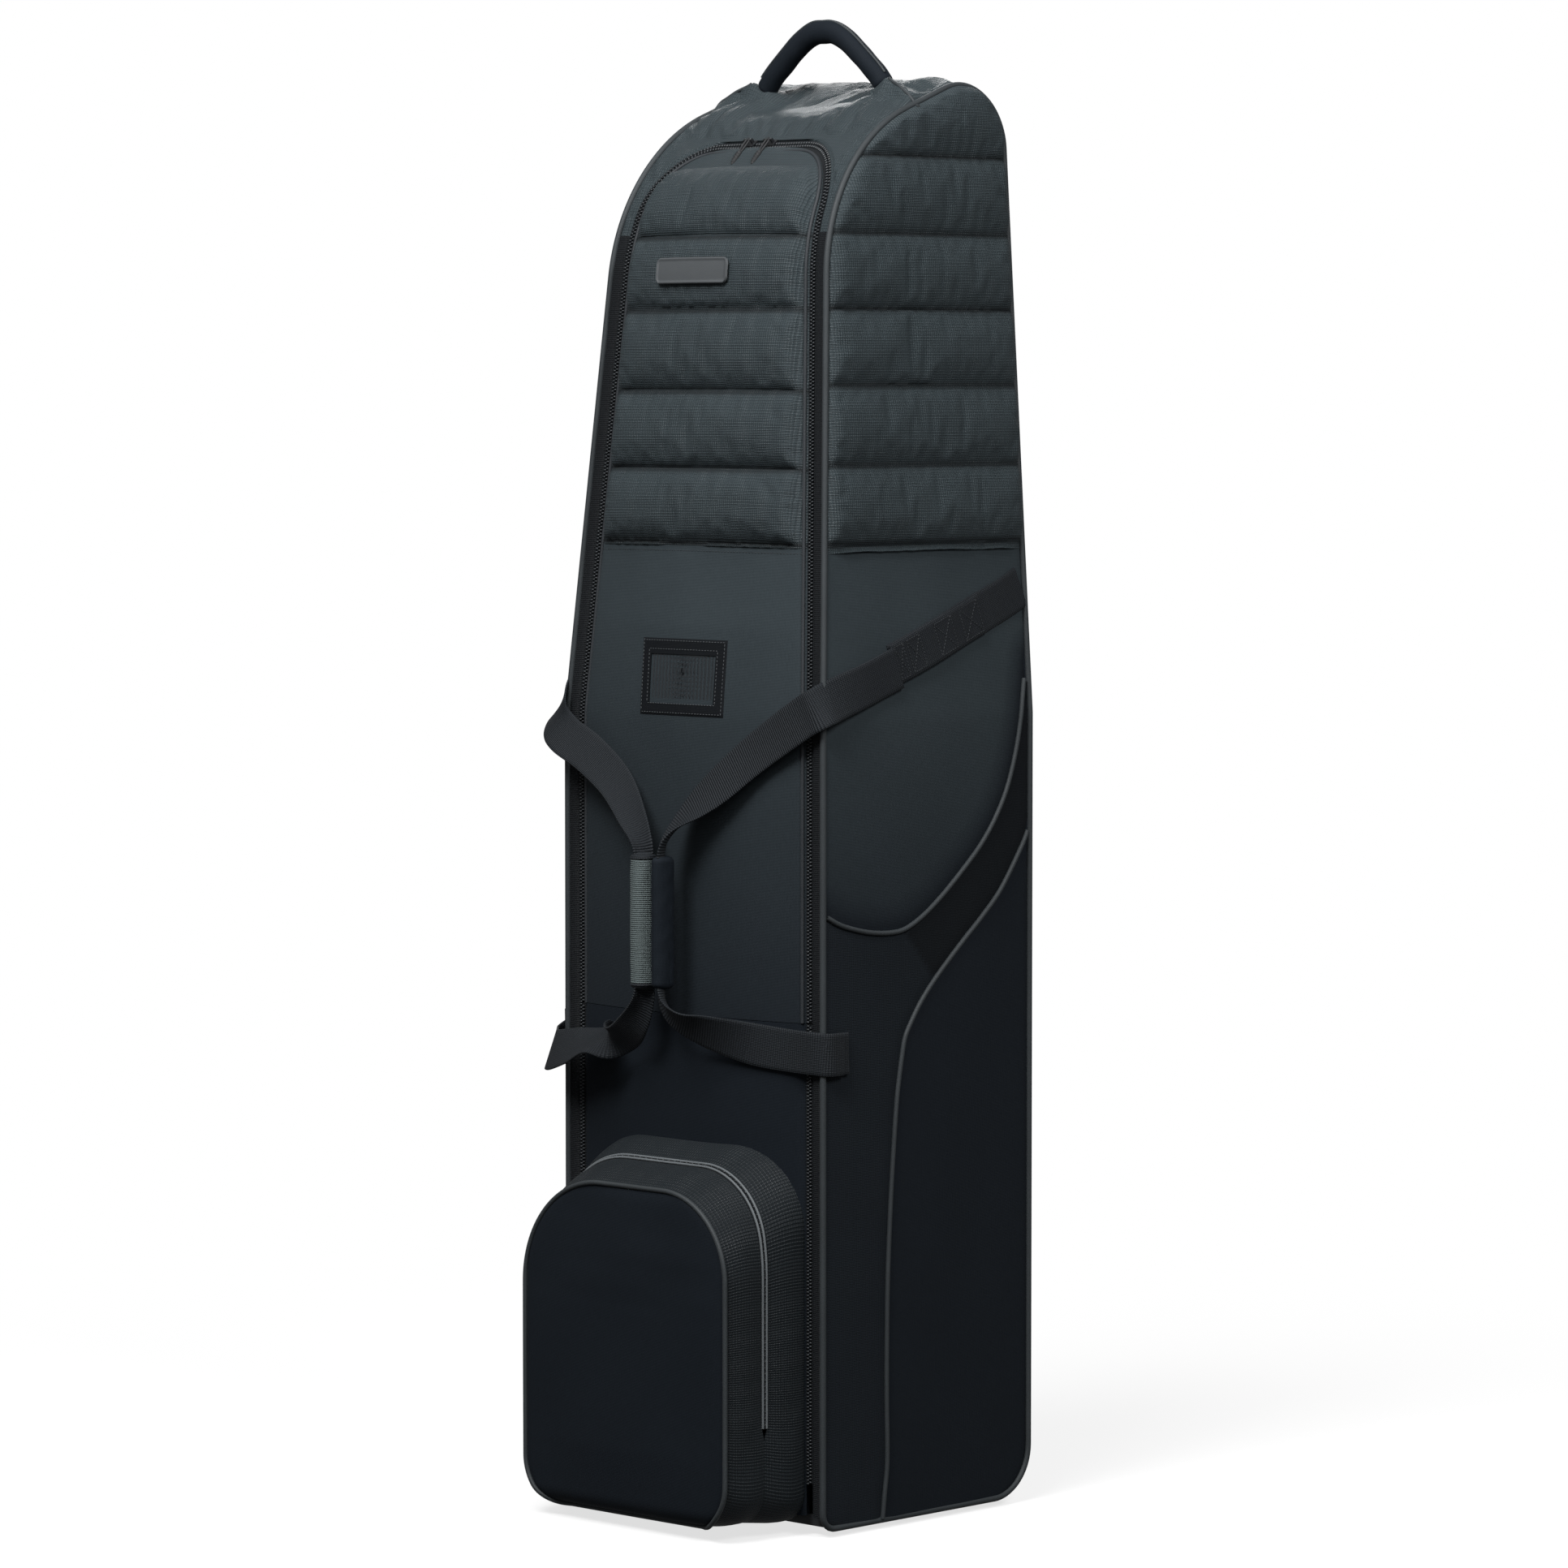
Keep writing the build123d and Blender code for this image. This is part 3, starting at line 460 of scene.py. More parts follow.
def side_lift(y, z, seed=0):
    """How far a side's padding stands outside the body."""
    y0, y1 = side_edges(z)
    q = np.clip(np.abs(2 * (y - y0) / np.maximum(y1 - y0, 1) - 1), 0, 1)
    inside = np.minimum(y - y0, y1 - y)
    top_gap = np.interp(y, body.a[ROOF], body.b[ROOF]) - z
    inside = np.clip(np.minimum(inside, np.maximum(top_gap, 0)), 0, None)
    shoulder = fold_in(inside, 12)
    crown = np.interp(z, [8, 90, 500, 800, 880, 1290], [1.5, 3, 5, 6, 3, 2])
    lift = crown * (1 - q**2.4) + 2.6 * shoulder - 1.6
    pads = puffs(z, SIDE_GROOVES) * shoulder
    crease = near_groove(z, SIDE_GROOVES)
    pucker = ripple(y * 0.35, z, 10, 11 + seed) * np.exp(-inside / 14)
    gather = ripple(y, z * 0.25, 14, 12 + seed) * np.exp(-crease / 9)
    lift = lift + np.where(z > SIDE_GROOVES[0],
                           8.5 * pads + pads**0.5 * (1.5 * pucker + 0.8 * gather), 0)
    below = np.clip((SEAM_Z - z) / 110, 0, 1)
    drape = ripple(y, z * 0.15, 46, 13 + seed) * (1 - below) * (z < SEAM_Z)
    soft = ripple(y, z * 0.4, 130, 14 + seed) * 1.0
    return lift + (soft + 0.9 * drape) * (1 - q**4) * shoulder


# ---- Finishes ----

class Amount:
    """A number or colour in a finish, which sums and products can be written with."""

    def __init__(self, finish, socket):
        self.finish, self.socket = finish, socket

    def maths(self, operation, *values):
        return self.finish.node("Math", {"operation": operation}, dict(enumerate(values)))

    def __add__(self, other):
        return self.maths("ADD", self, other)

    __radd__ = __add__

    def __sub__(self, other):
        return self.maths("SUBTRACT", self, other)

    def __rsub__(self, other):
        return self.maths("SUBTRACT", other, self)

    def __mul__(self, other):
        return self.maths("MULTIPLY", self, other)

    __rmul__ = __mul__

    def __truediv__(self, other):
        return self.maths("DIVIDE", self, other)

    def __pow__(self, other):
        return self.maths("POWER", self, other)

    def sine(self):
        return self.maths("SINE", self)

    def size(self):
        return self.maths("ABSOLUTE", self)

    def kept(self):
        return self.finish.node("Clamp", {}, {0: self})

    def over(self, other):
        return self.maths("GREATER_THAN", self, other)


class Finish:
    """A material under construction."""

    def __init__(self, name, roughness=0.8, **sockets):
        self.material = bpy.data.materials.new(name)
        self.material.use_nodes = True
        self.tree = self.material.node_tree
        self.shader = self.tree.nodes["Principled BSDF"]
        self.shader.inputs["Roughness"].default_value = roughness
        for key, value in sockets.items():
            self.shader.inputs[key.replace("_", " ")].default_value = value

    def node(self, kind, settings, inputs, output=0):
        made = self.tree.nodes.new("ShaderNode" + kind)
        for key, value in settings.items():
            if key == "stops":
                for i, (place, colour) in enumerate(value):
                    stop = (made.color_ramp.elements[i] if i < 2
                            else made.color_ramp.elements.new(place))
                    stop.position, stop.color = place, (*colour, 1)
            else:
                setattr(made, key, value)
        for key, value in inputs.items():
            if isinstance(value, Amount):
                self.tree.links.new(value.socket, made.inputs[key])
            elif isinstance(value, tuple) and len(value) == 3 and made.inputs[key].type == "RGBA":
                made.inputs[key].default_value = (*value, 1)
            else:
                made.inputs[key].default_value = value
        return Amount(self, made.outputs[output])

    def cloth(self):
        """The cloth's own two directions, in millimetres."""
        uv = self.node("TexCoord", {}, {}, "UV")
        split = self.node("SeparateXYZ", {}, {0: uv})
        across = split * 1000
        along = Amount(self, split.socket.node.outputs[1]) * 1000
        return uv, across, along

    def place(self):
        return self.node("TexCoord", {}, {}, "Object")

    def noise(self, vector, scale, detail=3.0, stretch=None):
        if stretch:
            vector = self.node("Mapping", {}, {0: vector, 3: stretch})
        return self.node("TexNoise", {}, {"Vector": vector, "Scale": scale, "Detail": detail})

    def mix(self, factor, first, second):
        return self.node("Mix", {"data_type": "RGBA"}, {0: factor, 6: first, 7: second}, 2)

    def paint(self, colour=None, roughness=None, height=None, bump=0.5, depth=0.001,
              metallic=None, alpha=None):
        for key, value in (("Base Color", colour), ("Roughness", roughness),
                           ("Metallic", metallic), ("Alpha", alpha)):
            if value is not None:
                self.tree.links.new(value.socket, self.shader.inputs[key])
        if height is not None:
            normal = self.node("Bump", {}, {"Strength": bump, "Distance": depth,
                                            "Height": height})
            self.tree.links.new(normal.socket, self.shader.inputs["Normal"])
        return self.material


def waves(amount, pitch):
    return (amount * (2 * math.pi / pitch)).sine()


def diamonds(across, along, wide=4.6, high=3.0):
    """Small offset cells of a dobby weave."""
    return waves(across * (1 / wide) + along * (1 / high), 1.0) * \
        waves(across * (1 / wide) - along * (1 / high), 1.0)


def plain_weave(across, along):
    threads = waves(across, 1.1) * 0.5 + waves(along, 1.0) * 0.5
    return threads * 0.5 + 0.5


def dobby_finish(name, light, dark, sheen=0.02):
    f = Finish(name, 0.5, Sheen_Weight=sheen, Sheen_Roughness=0.35)
    f.shader.inputs["Sheen Tint"].default_value = (0.75, 0.85, 0.9, 1)
    f.shader.inputs["Specular IOR Level"].default_value = 0.18
    uv, across, along = f.cloth()
    cells = (diamonds(across, along) * 0.5 + 0.5).kept()
    threads = plain_weave(across, along)
    cloud = f.noise(uv, 9.0, 4.0)
    tone = (cells * 0.55 + threads * 0.1 + cloud * 0.35).kept()
    # Painted shade: the cloth is darkened in the quilting's sewn grooves, as far as the attribute
    # written near each groove says.
    crease = f.node("Attribute", {"attribute_name": "painted_groove_shade"}, {}, "Fac")
    colour = f.mix(crease, f.mix(tone, dark, light), PAINTED_GROOVE_SHADE)
    rough = 0.36 + (1 - cells) * 0.3
    return f.paint(colour, rough, cells + threads * 0.35, 0.8, 0.0009)


def plain_finish(name, light, dark, sheen=0.01):
    f = Finish(name, 0.7, Sheen_Weight=sheen, Sheen_Roughness=0.5)
    f.shader.inputs["Sheen Tint"].default_value = (0.75, 0.82, 0.9, 1)
    f.shader.inputs["Specular IOR Level"].default_value = 0.08
    uv, across, along = f.cloth()
    threads = plain_weave(across, along)
    slub = f.noise(uv, 900.0, 3.0, (1.0, 0.12, 1.0))
    cloud = f.noise(uv, 11.0, 5.0)
    tone = (threads * 0.25 + slub * 0.45 + cloud * 0.3).kept()
    return f.paint(f.mix(tone, dark, light), 0.6 + slub * 0.25,
                   threads * 0.6 + slub * 0.6, 0.45, 0.0005)


# The near-black painted into the quilting's grooves as shade.
PAINTED_GROOVE_SHADE = (0.003, 0.0038, 0.0045)
SLATE, SLATE_DARK = (0.040, 0.053, 0.059), (0.012, 0.0165, 0.019)
COAL, COAL_DARK = (0.0095, 0.0130, 0.0178), (0.0038, 0.0054, 0.0078)

quilt_cloth = dobby_finish("quilted_dobby", SLATE, SLATE_DARK, 0.02)
gusset_cloth = dobby_finish("gusset_dobby", (0.013, 0.017, 0.020), (0.004, 0.0055, 0.007))
plain_cloth = plain_finish("packcloth", COAL, COAL_DARK)
window_cloth = plain_finish("window_border", (0.0065, 0.0078, 0.0095), (0.003, 0.0037, 0.0047))
lining_cloth = plain_finish("grey_lining", (0.10, 0.10, 0.105), (0.06, 0.06, 0.065), 0.1)


def side_finish():
    """Packcloth, with dobby cloth where the seam_region attribute says so."""
    f = Finish("side_cloths", 0.7, Sheen_Weight=0.01, Sheen_Roughness=0.5)
    f.shader.inputs["Specular IOR Level"].default_value = 0.1
    uv, across, along = f.cloth()
    region = f.node("Attribute", {"attribute_name": "seam_region"}, {}, "Fac")
    dobby = region.over(0.0)
    cells = (diamonds(across, along) * 0.5 + 0.5).kept()
    threads = plain_weave(across, along)
    slub = f.noise(uv, 900.0, 3.0, (1.0, 0.12, 1.0))
    cloud = f.noise(uv, 11.0, 5.0)
    tone = (threads * 0.25 + slub * 0.45 + cloud * 0.3).kept()
    plain = f.mix(tone, COAL_DARK, COAL)
    # Painted light: the plain cloth is mixed towards a lighter copy of itself as far as this
    # attribute says, and the attribute grows with height.
    high = f.node("Attribute", {"attribute_name": "painted_top_light"}, {}, "Fac")
    plain = f.mix(high, plain, f.mix(tone, (0.014, 0.019, 0.022), (0.035, 0.045, 0.051)))
    figured = f.mix((cells * 0.6 + cloud * 0.4).kept(), (0.0035, 0.0048, 0.0066),
                    (0.0125, 0.0165, 0.0210))
    satin = f.node("Attribute", {"attribute_name": "satin_cloth"}, {}, "Fac")
    figured = f.mix(satin, figured, (0.0045, 0.0058, 0.0074))
    height = (threads * 0.5 + slub * 0.5) * (1 - dobby) + cells * dobby
    return f.paint(f.mix(dobby, plain, figured), 0.6 + slub * 0.22, height, 0.5, 0.0006)


side_cloth = side_finish()


def piping_finish(name, light, dark):
    f = Finish(name, 0.5, Sheen_Weight=0.02, Sheen_Roughness=0.4)
    f.shader.inputs["Specular IOR Level"].default_value = 0.3
    where = f.place()
    fleck = f.noise(where, 1400.0, 2.0)
    cloud = f.noise(where, 25.0, 3.0)
    return f.paint(f.mix((fleck * 0.5 + cloud * 0.5).kept(), dark, light), 0.5 + fleck * 0.2,
                   fleck, 0.5, 0.0004)


piping_cloth = piping_finish("piping", (0.034, 0.040, 0.044), (0.014, 0.017, 0.019))
zip_line_cloth = piping_finish("zipper_edge_cord", (0.125, 0.137, 0.145), (0.06, 0.068, 0.073))
thread = piping_finish("stitching", (0.030, 0.034, 0.038), (0.012, 0.014, 0.016))
window_thread = piping_finish("window_stitching", (0.060, 0.066, 0.070), (0.030, 0.034, 0.037))
pale_thread = piping_finish("pale_stitching", (0.22, 0.24, 0.25), (0.11, 0.12, 0.13))


def webbing_finish(name, light, dark, pitch=2.3):
    f = Finish(name, 0.6, Sheen_Weight=0.01, Sheen_Roughness=0.4)
    f.shader.inputs["Specular IOR Level"].default_value = 0.15
    uv, across, along = f.cloth()
    ribs = waves(along, pitch) * 0.5 + 0.5
    threads = waves(across, 1.5) * 0.5 + 0.5
    fuzz = f.noise(uv, 500.0, 3.0)
    tone = (ribs * 0.5 + threads * 0.2 + fuzz * 0.3).kept()
    return f.paint(f.mix(tone, dark, light), 0.5 + fuzz * 0.25,
                   ribs + threads * 0.4 + fuzz * 0.3, 0.8, 0.0007)


web_cloth = webbing_finish("webbing", (0.0175, 0.021, 0.025), (0.0045, 0.0055, 0.007))
tape_cloth = webbing_finish("zipper_tape", (0.010, 0.0118, 0.014), (0.004, 0.0048, 0.006), 1.2)
grip_cloth = webbing_finish("grip_wrap", (0.098, 0.121, 0.122), (0.062, 0.077, 0.078), 1.8)


def moulded_finish(name, light, dark, roughness=0.5, grain=900.0):
    f = Finish(name, roughness)
    f.shader.inputs["Specular IOR Level"].default_value = 0.45
    where = f.place()
    pebbles = f.node("TexVoronoi", {"feature": "SMOOTH_F1"},
                     {"Vector": where, "Scale": grain})
    cloud = f.noise(where, 14.0, 5.0)
    scuffs = f.noise(where, 60.0, 6.0, (1.0, 0.2, 3.0))
    wear = ((scuffs - 0.58) * 5).kept()
    colour = f.mix((cloud * 0.75 + wear * 0.35).kept(), dark, light)
    return f.paint(colour, roughness + wear * 0.18 + pebbles * 0.12, pebbles, 0.35, 0.0003)


plastic = moulded_finish("moulded_black", (0.020, 0.022, 0.025), (0.008, 0.009, 0.011), 0.42)
rail_plastic = moulded_finish("rail_black", (0.017, 0.018, 0.02), (0.008, 0.0085, 0.01), 0.5, 500)
buckle_plastic = moulded_finish("buckle_black", (0.012, 0.013, 0.015), (0.006, 0.0065, 0.008),
                                0.33, 1500)
rubber = moulded_finish("tread_rubber", (0.022, 0.022, 0.022), (0.010, 0.010, 0.010), 0.75, 1200)
foot_rubber = moulded_finish("foot_rubber", (0.018, 0.018, 0.018), (0.009, 0.009, 0.009), 0.8)
pull_cord = moulded_finish("pull_cord", (0.010, 0.0115, 0.0135), (0.004, 0.0045, 0.0055),
                           0.6, 2200)
patch_rubber = moulded_finish("patch_rubber", (0.060, 0.066, 0.070), (0.038, 0.042, 0.046),
                              0.55, 1600)
hub_plastic = moulded_finish("hub_grey", (0.13, 0.135, 0.14), (0.08, 0.084, 0.088), 0.4)


def metal_finish(name, light, dark, roughness):
    f = Finish(name, roughness, Metallic=1.0)
    where = f.place()
    brushed = f.noise(where, 700.0, 4.0, (0.15, 1.0, 1.0))
    spots = f.noise(where, 90.0, 4.0)
    return f.paint(f.mix((brushed * 0.6 + spots * 0.4).kept(), dark, light),
                   roughness + brushed * 0.18, brushed, 0.15, 0.0002)


zip_metal = metal_finish("black_nickel", (0.16, 0.165, 0.175), (0.06, 0.063, 0.07), 0.28)
steel = metal_finish("zinc_steel", (0.62, 0.61, 0.58), (0.42, 0.42, 0.41), 0.3)


def coil_finish():
    f = Finish("nylon_coil", 0.4)
    where = f.place()
    cloud = f.noise(where, 300.0, 3.0)
    return f.paint(f.mix(cloud, (0.010, 0.012, 0.014), (0.026, 0.030, 0.034)),
                   0.32 + cloud * 0.2, cloud, 0.2, 0.0002)


coil = coil_finish()


def film_finish():
    f = Finish("clear_window", 0.12)
    f.shader.inputs["IOR"].default_value = 1.5
    f.shader.inputs["Specular IOR Level"].default_value = 0.6
    where = f.place()
    waves_in = f.noise(where, 22.0, 3.0)
    rough = 0.1 + waves_in * 0.12
    return f.paint(f.mix(waves_in, (0.012, 0.014, 0.016), (0.024, 0.028, 0.032)), rough,
                   waves_in, 0.25, 0.003)


window_film = film_finish()

# ---- Front, door and gussets ----

def rows_of(low, high, pitch, round_top=0.0):
    """Row heights, drawn together where an outline closes in at the top."""
    straight = np.linspace(low, high - round_top, max(2, int((high - round_top - low) / pitch)))
    if not round_top:
        return straight
    angle = np.linspace(0, math.pi / 2, max(8, int(round_top / pitch * 1.5)))[1:]
    return np.concatenate([straight, high - round_top + round_top * np.sin(angle)])


def front_sheet(name, low, high, pitch=3.5, round_top=0.0, across=64):
    heights = rows_of(low, high, pitch, round_top)
    share = np.linspace(0, 1, len(heights))

    def spot(u, v):
        z = np.interp(v, share, heights)
        return (2 * u - 1) * door_edge(z, -TAPE), z

    def place(u, v):
        x, z = spot(u, v)
        return skin(x, body.rising(z), front_lift(x, z))

    def weave(u, v):
        x, z = spot(u, v)
        return x, body.rising(z)

    return sheet_of(name, across, len(heights), place, weave, (0, -1, 0.2))


def paint_groove_shade(sheet, grooves):
    """Stores painted shade for the sewn channels, stronger the closer each point lies to one."""
    z = read(sheet)[:, 2] / MM
    layer = sheet.data.attributes.new("painted_groove_shade", "FLOAT", "POINT")
    layer.data.foreach_set(
        "value", (0.85 * np.exp(-(near_groove(z, grooves) / 2.6) ** 2)).astype(np.float32))


def front_hold(sheet):
    """1 where the front's quilting is sewn down, 0 in the middle of a puff."""
    co = read(sheet) / MM
    inside = door_edge(co[:, 2], -TAPE) - np.abs(co[:, 0])
    crease = near_groove(co[:, 2], FRONT_GROOVES)
    sewn = (crease < 2.2) | (inside < 8) | (co[:, 2] > FRONT_GROOVES[-1] - 1)
    sewn |= (np.abs(co[:, 0] - PATCH_X) < PATCH_HALF) & (np.abs(co[:, 2] - PATCH_Z) < PATCH_H / 2)
    return sewn.astype(float)


door_quilt = front_sheet("door_quilt", QUILT_FOOT, ZIP_TOP - TAPE, 3.0, ZIP_CORNER - TAPE, 84)
paint_groove_shade(door_quilt, FRONT_GROOVES[:-1])
stuff(door_quilt, front_hold(door_quilt))
lined(door_quilt)
settle(door_quilt, [quilt_cloth, lining_cloth], "door",
       ["door_quilt_pad"])
door_lower = front_sheet("door_lower", DOOR_FOOT, QUILT_FOOT, 4.5)
lined(door_lower)
fold_door(door_lower, [side_cloth, lining_cloth], ["door_panel"])
front_lower = front_sheet("front_lower", UNDERSIDE + 10, DOOR_FOOT - 0.6, 5.0)
lined(front_lower)
settle(front_lower, [plain_cloth, lining_cloth], "shell",
       ["lower_front_panel"])


def edge_strip(name, sign, low, high, across=8):
    """The narrow gusset between the zipper and the corner piping."""
    heights = rows_of(low, high, 6.0)
    share = np.linspace(0, 1, len(heights))

    def spot(u, v):
        z = np.interp(v, share, heights)
        inner, outer = door_edge(z, TAPE), half_width(z)
        return inner + (outer - inner) * u, z, np.minimum(u, 1 - u) * (outer - inner)

    def place(u, v):
        x, z, inside = spot(u, v)
        return skin(sign * x, body.rising(z), 1.7 * fold_in(inside, 4) - 0.9)

    def weave(u, v):
        x, z, _ = spot(u, v)
        return x, body.rising(z)

    return sheet_of(name, across, len(heights), place, weave, (0, -1, 0.1))


for side, sign in (("left", -1), ("right", 1)):
    strip = edge_strip(f"{side}_edge_strip", sign, UNDERSIDE + 10, 1150)
    lined(strip)
    settle(strip, [tape_cloth, lining_cloth], "shell",
           [f"{side}_front_gusset"])


# ---- Top ----


def ridge(x, y, start, end, height0, height1, width):
    """A fold of cloth drawn up along a line."""
    a, b = np.array(start, float), np.array(end, float)
    run = b - a
    t = np.clip(((x - a[0]) * run[0] + (y - a[1]) * run[1]) / (run @ run), 0, 1)
    off = np.hypot(x - a[0] - t * run[0], y - a[1] - t * run[1])
    return (height0 + (height1 - height0) * t) * np.exp(-(off / width) ** 2)


ARCH_REAR = 60.0


def top_lift(x, s):
    y, z = body.at(s)
    edge = half_width(z)
    inside = edge - np.abs(x)
    arch = np.where((z < ZIP_TOP + TAPE) & (y < ARCH_REAR), np.abs(x) - door_edge(z, TAPE), 99.0)
    shoulder = fold_in(np.clip(inside, 0, None), 10)
    lift = 2.4 * shoulder - 1.4
    fore = np.clip((s - body.rising(ZIP_TOP + TAPE)) / 40, 0, 1)
    q = np.clip(np.abs(x) / edge, 0, 1)
    lift = lift + 5.0 * (1 - q**2.2) * fore
    m = np.abs(x)
    tug = np.max([
        ridge(m, y, (84, 77), (132, 60), 17, 2.0, 12),
        ridge(m, y, (70, 77), (84, 77), 9, 17, 13),
        ridge(m, y, (80, 72), (112, 4), 9.0, 0.5, 11),
        ridge(m, y, (72, 72), (76, 0), 7.0, 0.5, 9),
        ridge(m, y, (84, 84), (100, 134), 9.0, 0.5, 12),
    ], axis=0)
    tug = tug - ridge(m, y, (95, 52), (120, -2), 2.5, 1.0, 8)
    sag = 7.5 * np.exp(-((y - 72) / 46) ** 2) * np.clip(1 - (x / 66) ** 2, 0, 1)
    creases = 1.1 * ripple(x, y * 0.55, 34, 21) + 0.5 * ripple(x + y, y * 0.3, 15, 22)
    pulled = np.exp(-np.hypot(m - 80, y - 70) / 55)
    lift = lift + (tug - sag + creases * (0.5 + pulled)) * shoulder * np.clip(fore + 0.1, 0, 1)
    lift = lift + 1.6 * ripple(x * 0.6, s, 22, 23) * np.exp(-np.abs(arch) / 16) * shoulder * 0.4
    return np.where(arch < 5, np.minimum(lift, 0.9 * fold_in(np.clip(arch, 0, 9), 4) - 0.8), lift)


REAR_SEAM = body.falling(1219.0)
ARCH_TOP = body.rising(ZIP_TOP + TAPE)
CHEEK, MIDDLE = 26, 52


def top_columns(u, z):
    """x across the top, with columns that meet the cheeks beside the zipper's corners."""
    count = 2 * CHEEK + MIDDLE
    inner = door_edge(ZIP_TOP + TAPE, TAPE)
    column = u * count
    outer = half_width(z)
    left = -outer + (outer - inner) * column / CHEEK
    middle = -inner + 2 * inner * (column - CHEEK) / MIDDLE
    right = inner + (outer - inner) * (column - CHEEK - MIDDLE) / CHEEK
    return np.where(column < CHEEK, left, np.where(column > CHEEK + MIDDLE, right, middle))


def top_main():
    def spot(u, v):
        s = ARCH_TOP + (REAR_SEAM - ARCH_TOP) * v
        return top_columns(u, body.at(s)[1]), s

    def place(u, v):
        x, s = spot(u, v)
        return skin(x, s, top_lift(x, s))

    return sheet_of("top_main", 2 * CHEEK + MIDDLE, 100, place, spot, (0, 0, 1))


def top_cheek(sign):
    heights = rows_of(1150, ZIP_TOP + TAPE, 3.2, ZIP_CORNER + TAPE)
    share = np.linspace(0, 1, len(heights))

    def spot(u, v):
        z = np.interp(v, share, heights)
        inner, outer = door_edge(z, TAPE), half_width(z)
        return sign * (inner + (outer - inner) * u), body.rising(z)

    def place(u, v):
        x, s = spot(u, v)
        return skin(x, s, top_lift(x, s))

    return sheet_of("cheek", CHEEK, len(heights), place, spot, (0, -1, 1))


top_cover = joined("top_cover", [top_main(), top_cheek(-1), top_cheek(1)])
edit(top_cover, lambda: bpy.ops.mesh.remove_doubles(threshold=0.0004))


def top_hold(sheet):
    """1 along the top's seams and at the handle's feet."""
    co = read(sheet) / MM
    x, y, z = np.abs(co[:, 0]), co[:, 1], co[:, 2]
    arch = np.where((z < ZIP_TOP + TAPE + 3) & (y < 60), x - door_edge(z, TAPE), 99.0)
    foot = np.hypot(x - 78, y - HANDLE_Y)
    edges = (half_width(z) - x < 4) | (arch < 5) | (z < 1160)
    front = (z < ZIP_TOP + TAPE + 5) & (x < 110) & (y < 60)
    return (edges | front | (foot < 15) | (y > 160)).astype(float)


stuff(top_cover, top_hold(top_cover), 0.03, 1.5, 3.5)
lined(top_cover, 7.0)
settle(top_cover, [quilt_cloth, lining_cloth], "shell",
       ["top_panel", "handle_anchors"])


# ---- Back ----

def back_lift(x, z):
    edge = half_width(z)
    q = np.clip(np.abs(x) / edge, 0, 1)
    crown = np.interp(z, [84, 450, 560, 1150, 1219], [0, 0, 3.5, 3.5, 1.0])
    lift = crown * (1 - q**2.4) + 1.6 * fold_in(edge - np.abs(x), 10) - 1.6
    return lift + 0.8 * ripple(x, z * 0.5, 150, 31) * (1 - q**4) * np.interp(z, [440, 520], [0, 1])


def back_spot(u, v):
    s = REAR_SEAM + (body.falling(84.0) - REAR_SEAM) * v
    return (2 * u - 1) * half_width(body.at(s)[1]), s


def back_place(u, v):
    x, s = back_spot(u, v)
    return skin(x, s, back_lift(x, body.at(s)[1]))


back_cover = sheet_of("back_cover", 48, 180, back_place, back_spot, (0, 1, 0))
lined(back_cover)
settle(back_cover, [plain_cloth, lining_cloth], "shell", ["back_panel"])


# ---- Sides ----

APEX = body.b.max()


def side_sheet(name, sign, low, high, pitch, across, apex=False):
    if apex:
        level = rows_of(low, high - 60, pitch)
        close = high - 60 + 60 * np.sin(np.linspace(0, math.pi / 2, 34)[1:])
        heights = np.concatenate([level, close])
    else:
        curve = UNDERSIDE + 45 - 45 * np.cos(np.linspace(0, math.pi / 2, 16)[:-1])
        heights = np.concatenate([curve, rows_of(UNDERSIDE + 45, high, pitch)])
    heights[-1] = min(heights[-1], APEX - 0.02) if apex else heights[-1]
    share = np.linspace(0, 1, len(heights))

    def spot(u, v):
        z = np.interp(v, share, heights)
        y0, y1 = side_edges(z)
        return y0 + (y1 - y0) * u, z

    def place(u, v):
        y, z = spot(u, v)
        return flank(sign, y, z, side_lift(y, z, int(sign)))

    return sheet_of(name, across, len(heights), place, spot, (sign, 0, 0))


def side_hold(sheet):
    """1 where a side's quilting is sewn down, 0 in the middle of a puff."""
    co = read(sheet) / MM
    y, z = co[:, 1], co[:, 2]
    y0, y1 = side_edges(z)
    inside = np.minimum(np.minimum(y - y0, y1 - y), np.interp(y, body.a[ROOF], body.b[ROOF]) - z)
    sewn = (near_groove(z, SIDE_GROOVES) < 2.2) | (inside < 5)
    return sewn.astype(float)


def mark_regions(piece):
    """Stores where the side's dobby cloth lies, as a distance from its seams."""
    co = read(piece) / MM
    y, z = co[:, 1], co[:, 2]
    far_a = beside(y, z, line_a)
    far_b = beside(y, z, line_b)
    region = np.minimum(-far_a, -far_b)
    layer = piece.data.attributes.new("seam_region", "FLOAT", "POINT")
    layer.data.foreach_set("value", region.astype(np.float32))
    # Painted light: a ramp that grows with height from 430 mm, on the upper side of seam line a,
    # lightens the plain cloth there.
    top_light_ramp = np.clip(far_a / 30, 0, 1) * np.clip((z - 430) / 300, 0, 1)
    layer = piece.data.attributes.new("painted_top_light", "FLOAT", "POINT")
    layer.data.foreach_set("value", top_light_ramp.astype(np.float32))
    (y0, z0), (y1, z1) = cross_seam[0], cross_seam[-1]
    beyond = (z1 - z0) * (y - y0) - (y1 - y0) * (z - z0)
    layer = piece.data.attributes.new("satin_cloth", "FLOAT", "POINT")
    layer.data.foreach_set("value", ((region > 0) & (beyond < 0)).astype(np.float32))
    dip = 1.3 * np.exp(-(far_a / 5) ** 2) + 1.3 * np.exp(-(far_b / 5) ** 2)
    cross = np.min([np.hypot(y - a, z - b) for a, b in curved(cross_seam, 30)], axis=0)
    dip = dip + 1.0 * np.exp(-(cross / 2.5) ** 2)
    co[:, 0] -= np.sign(co[:, 0]) * dip
    write(piece, co * MM)


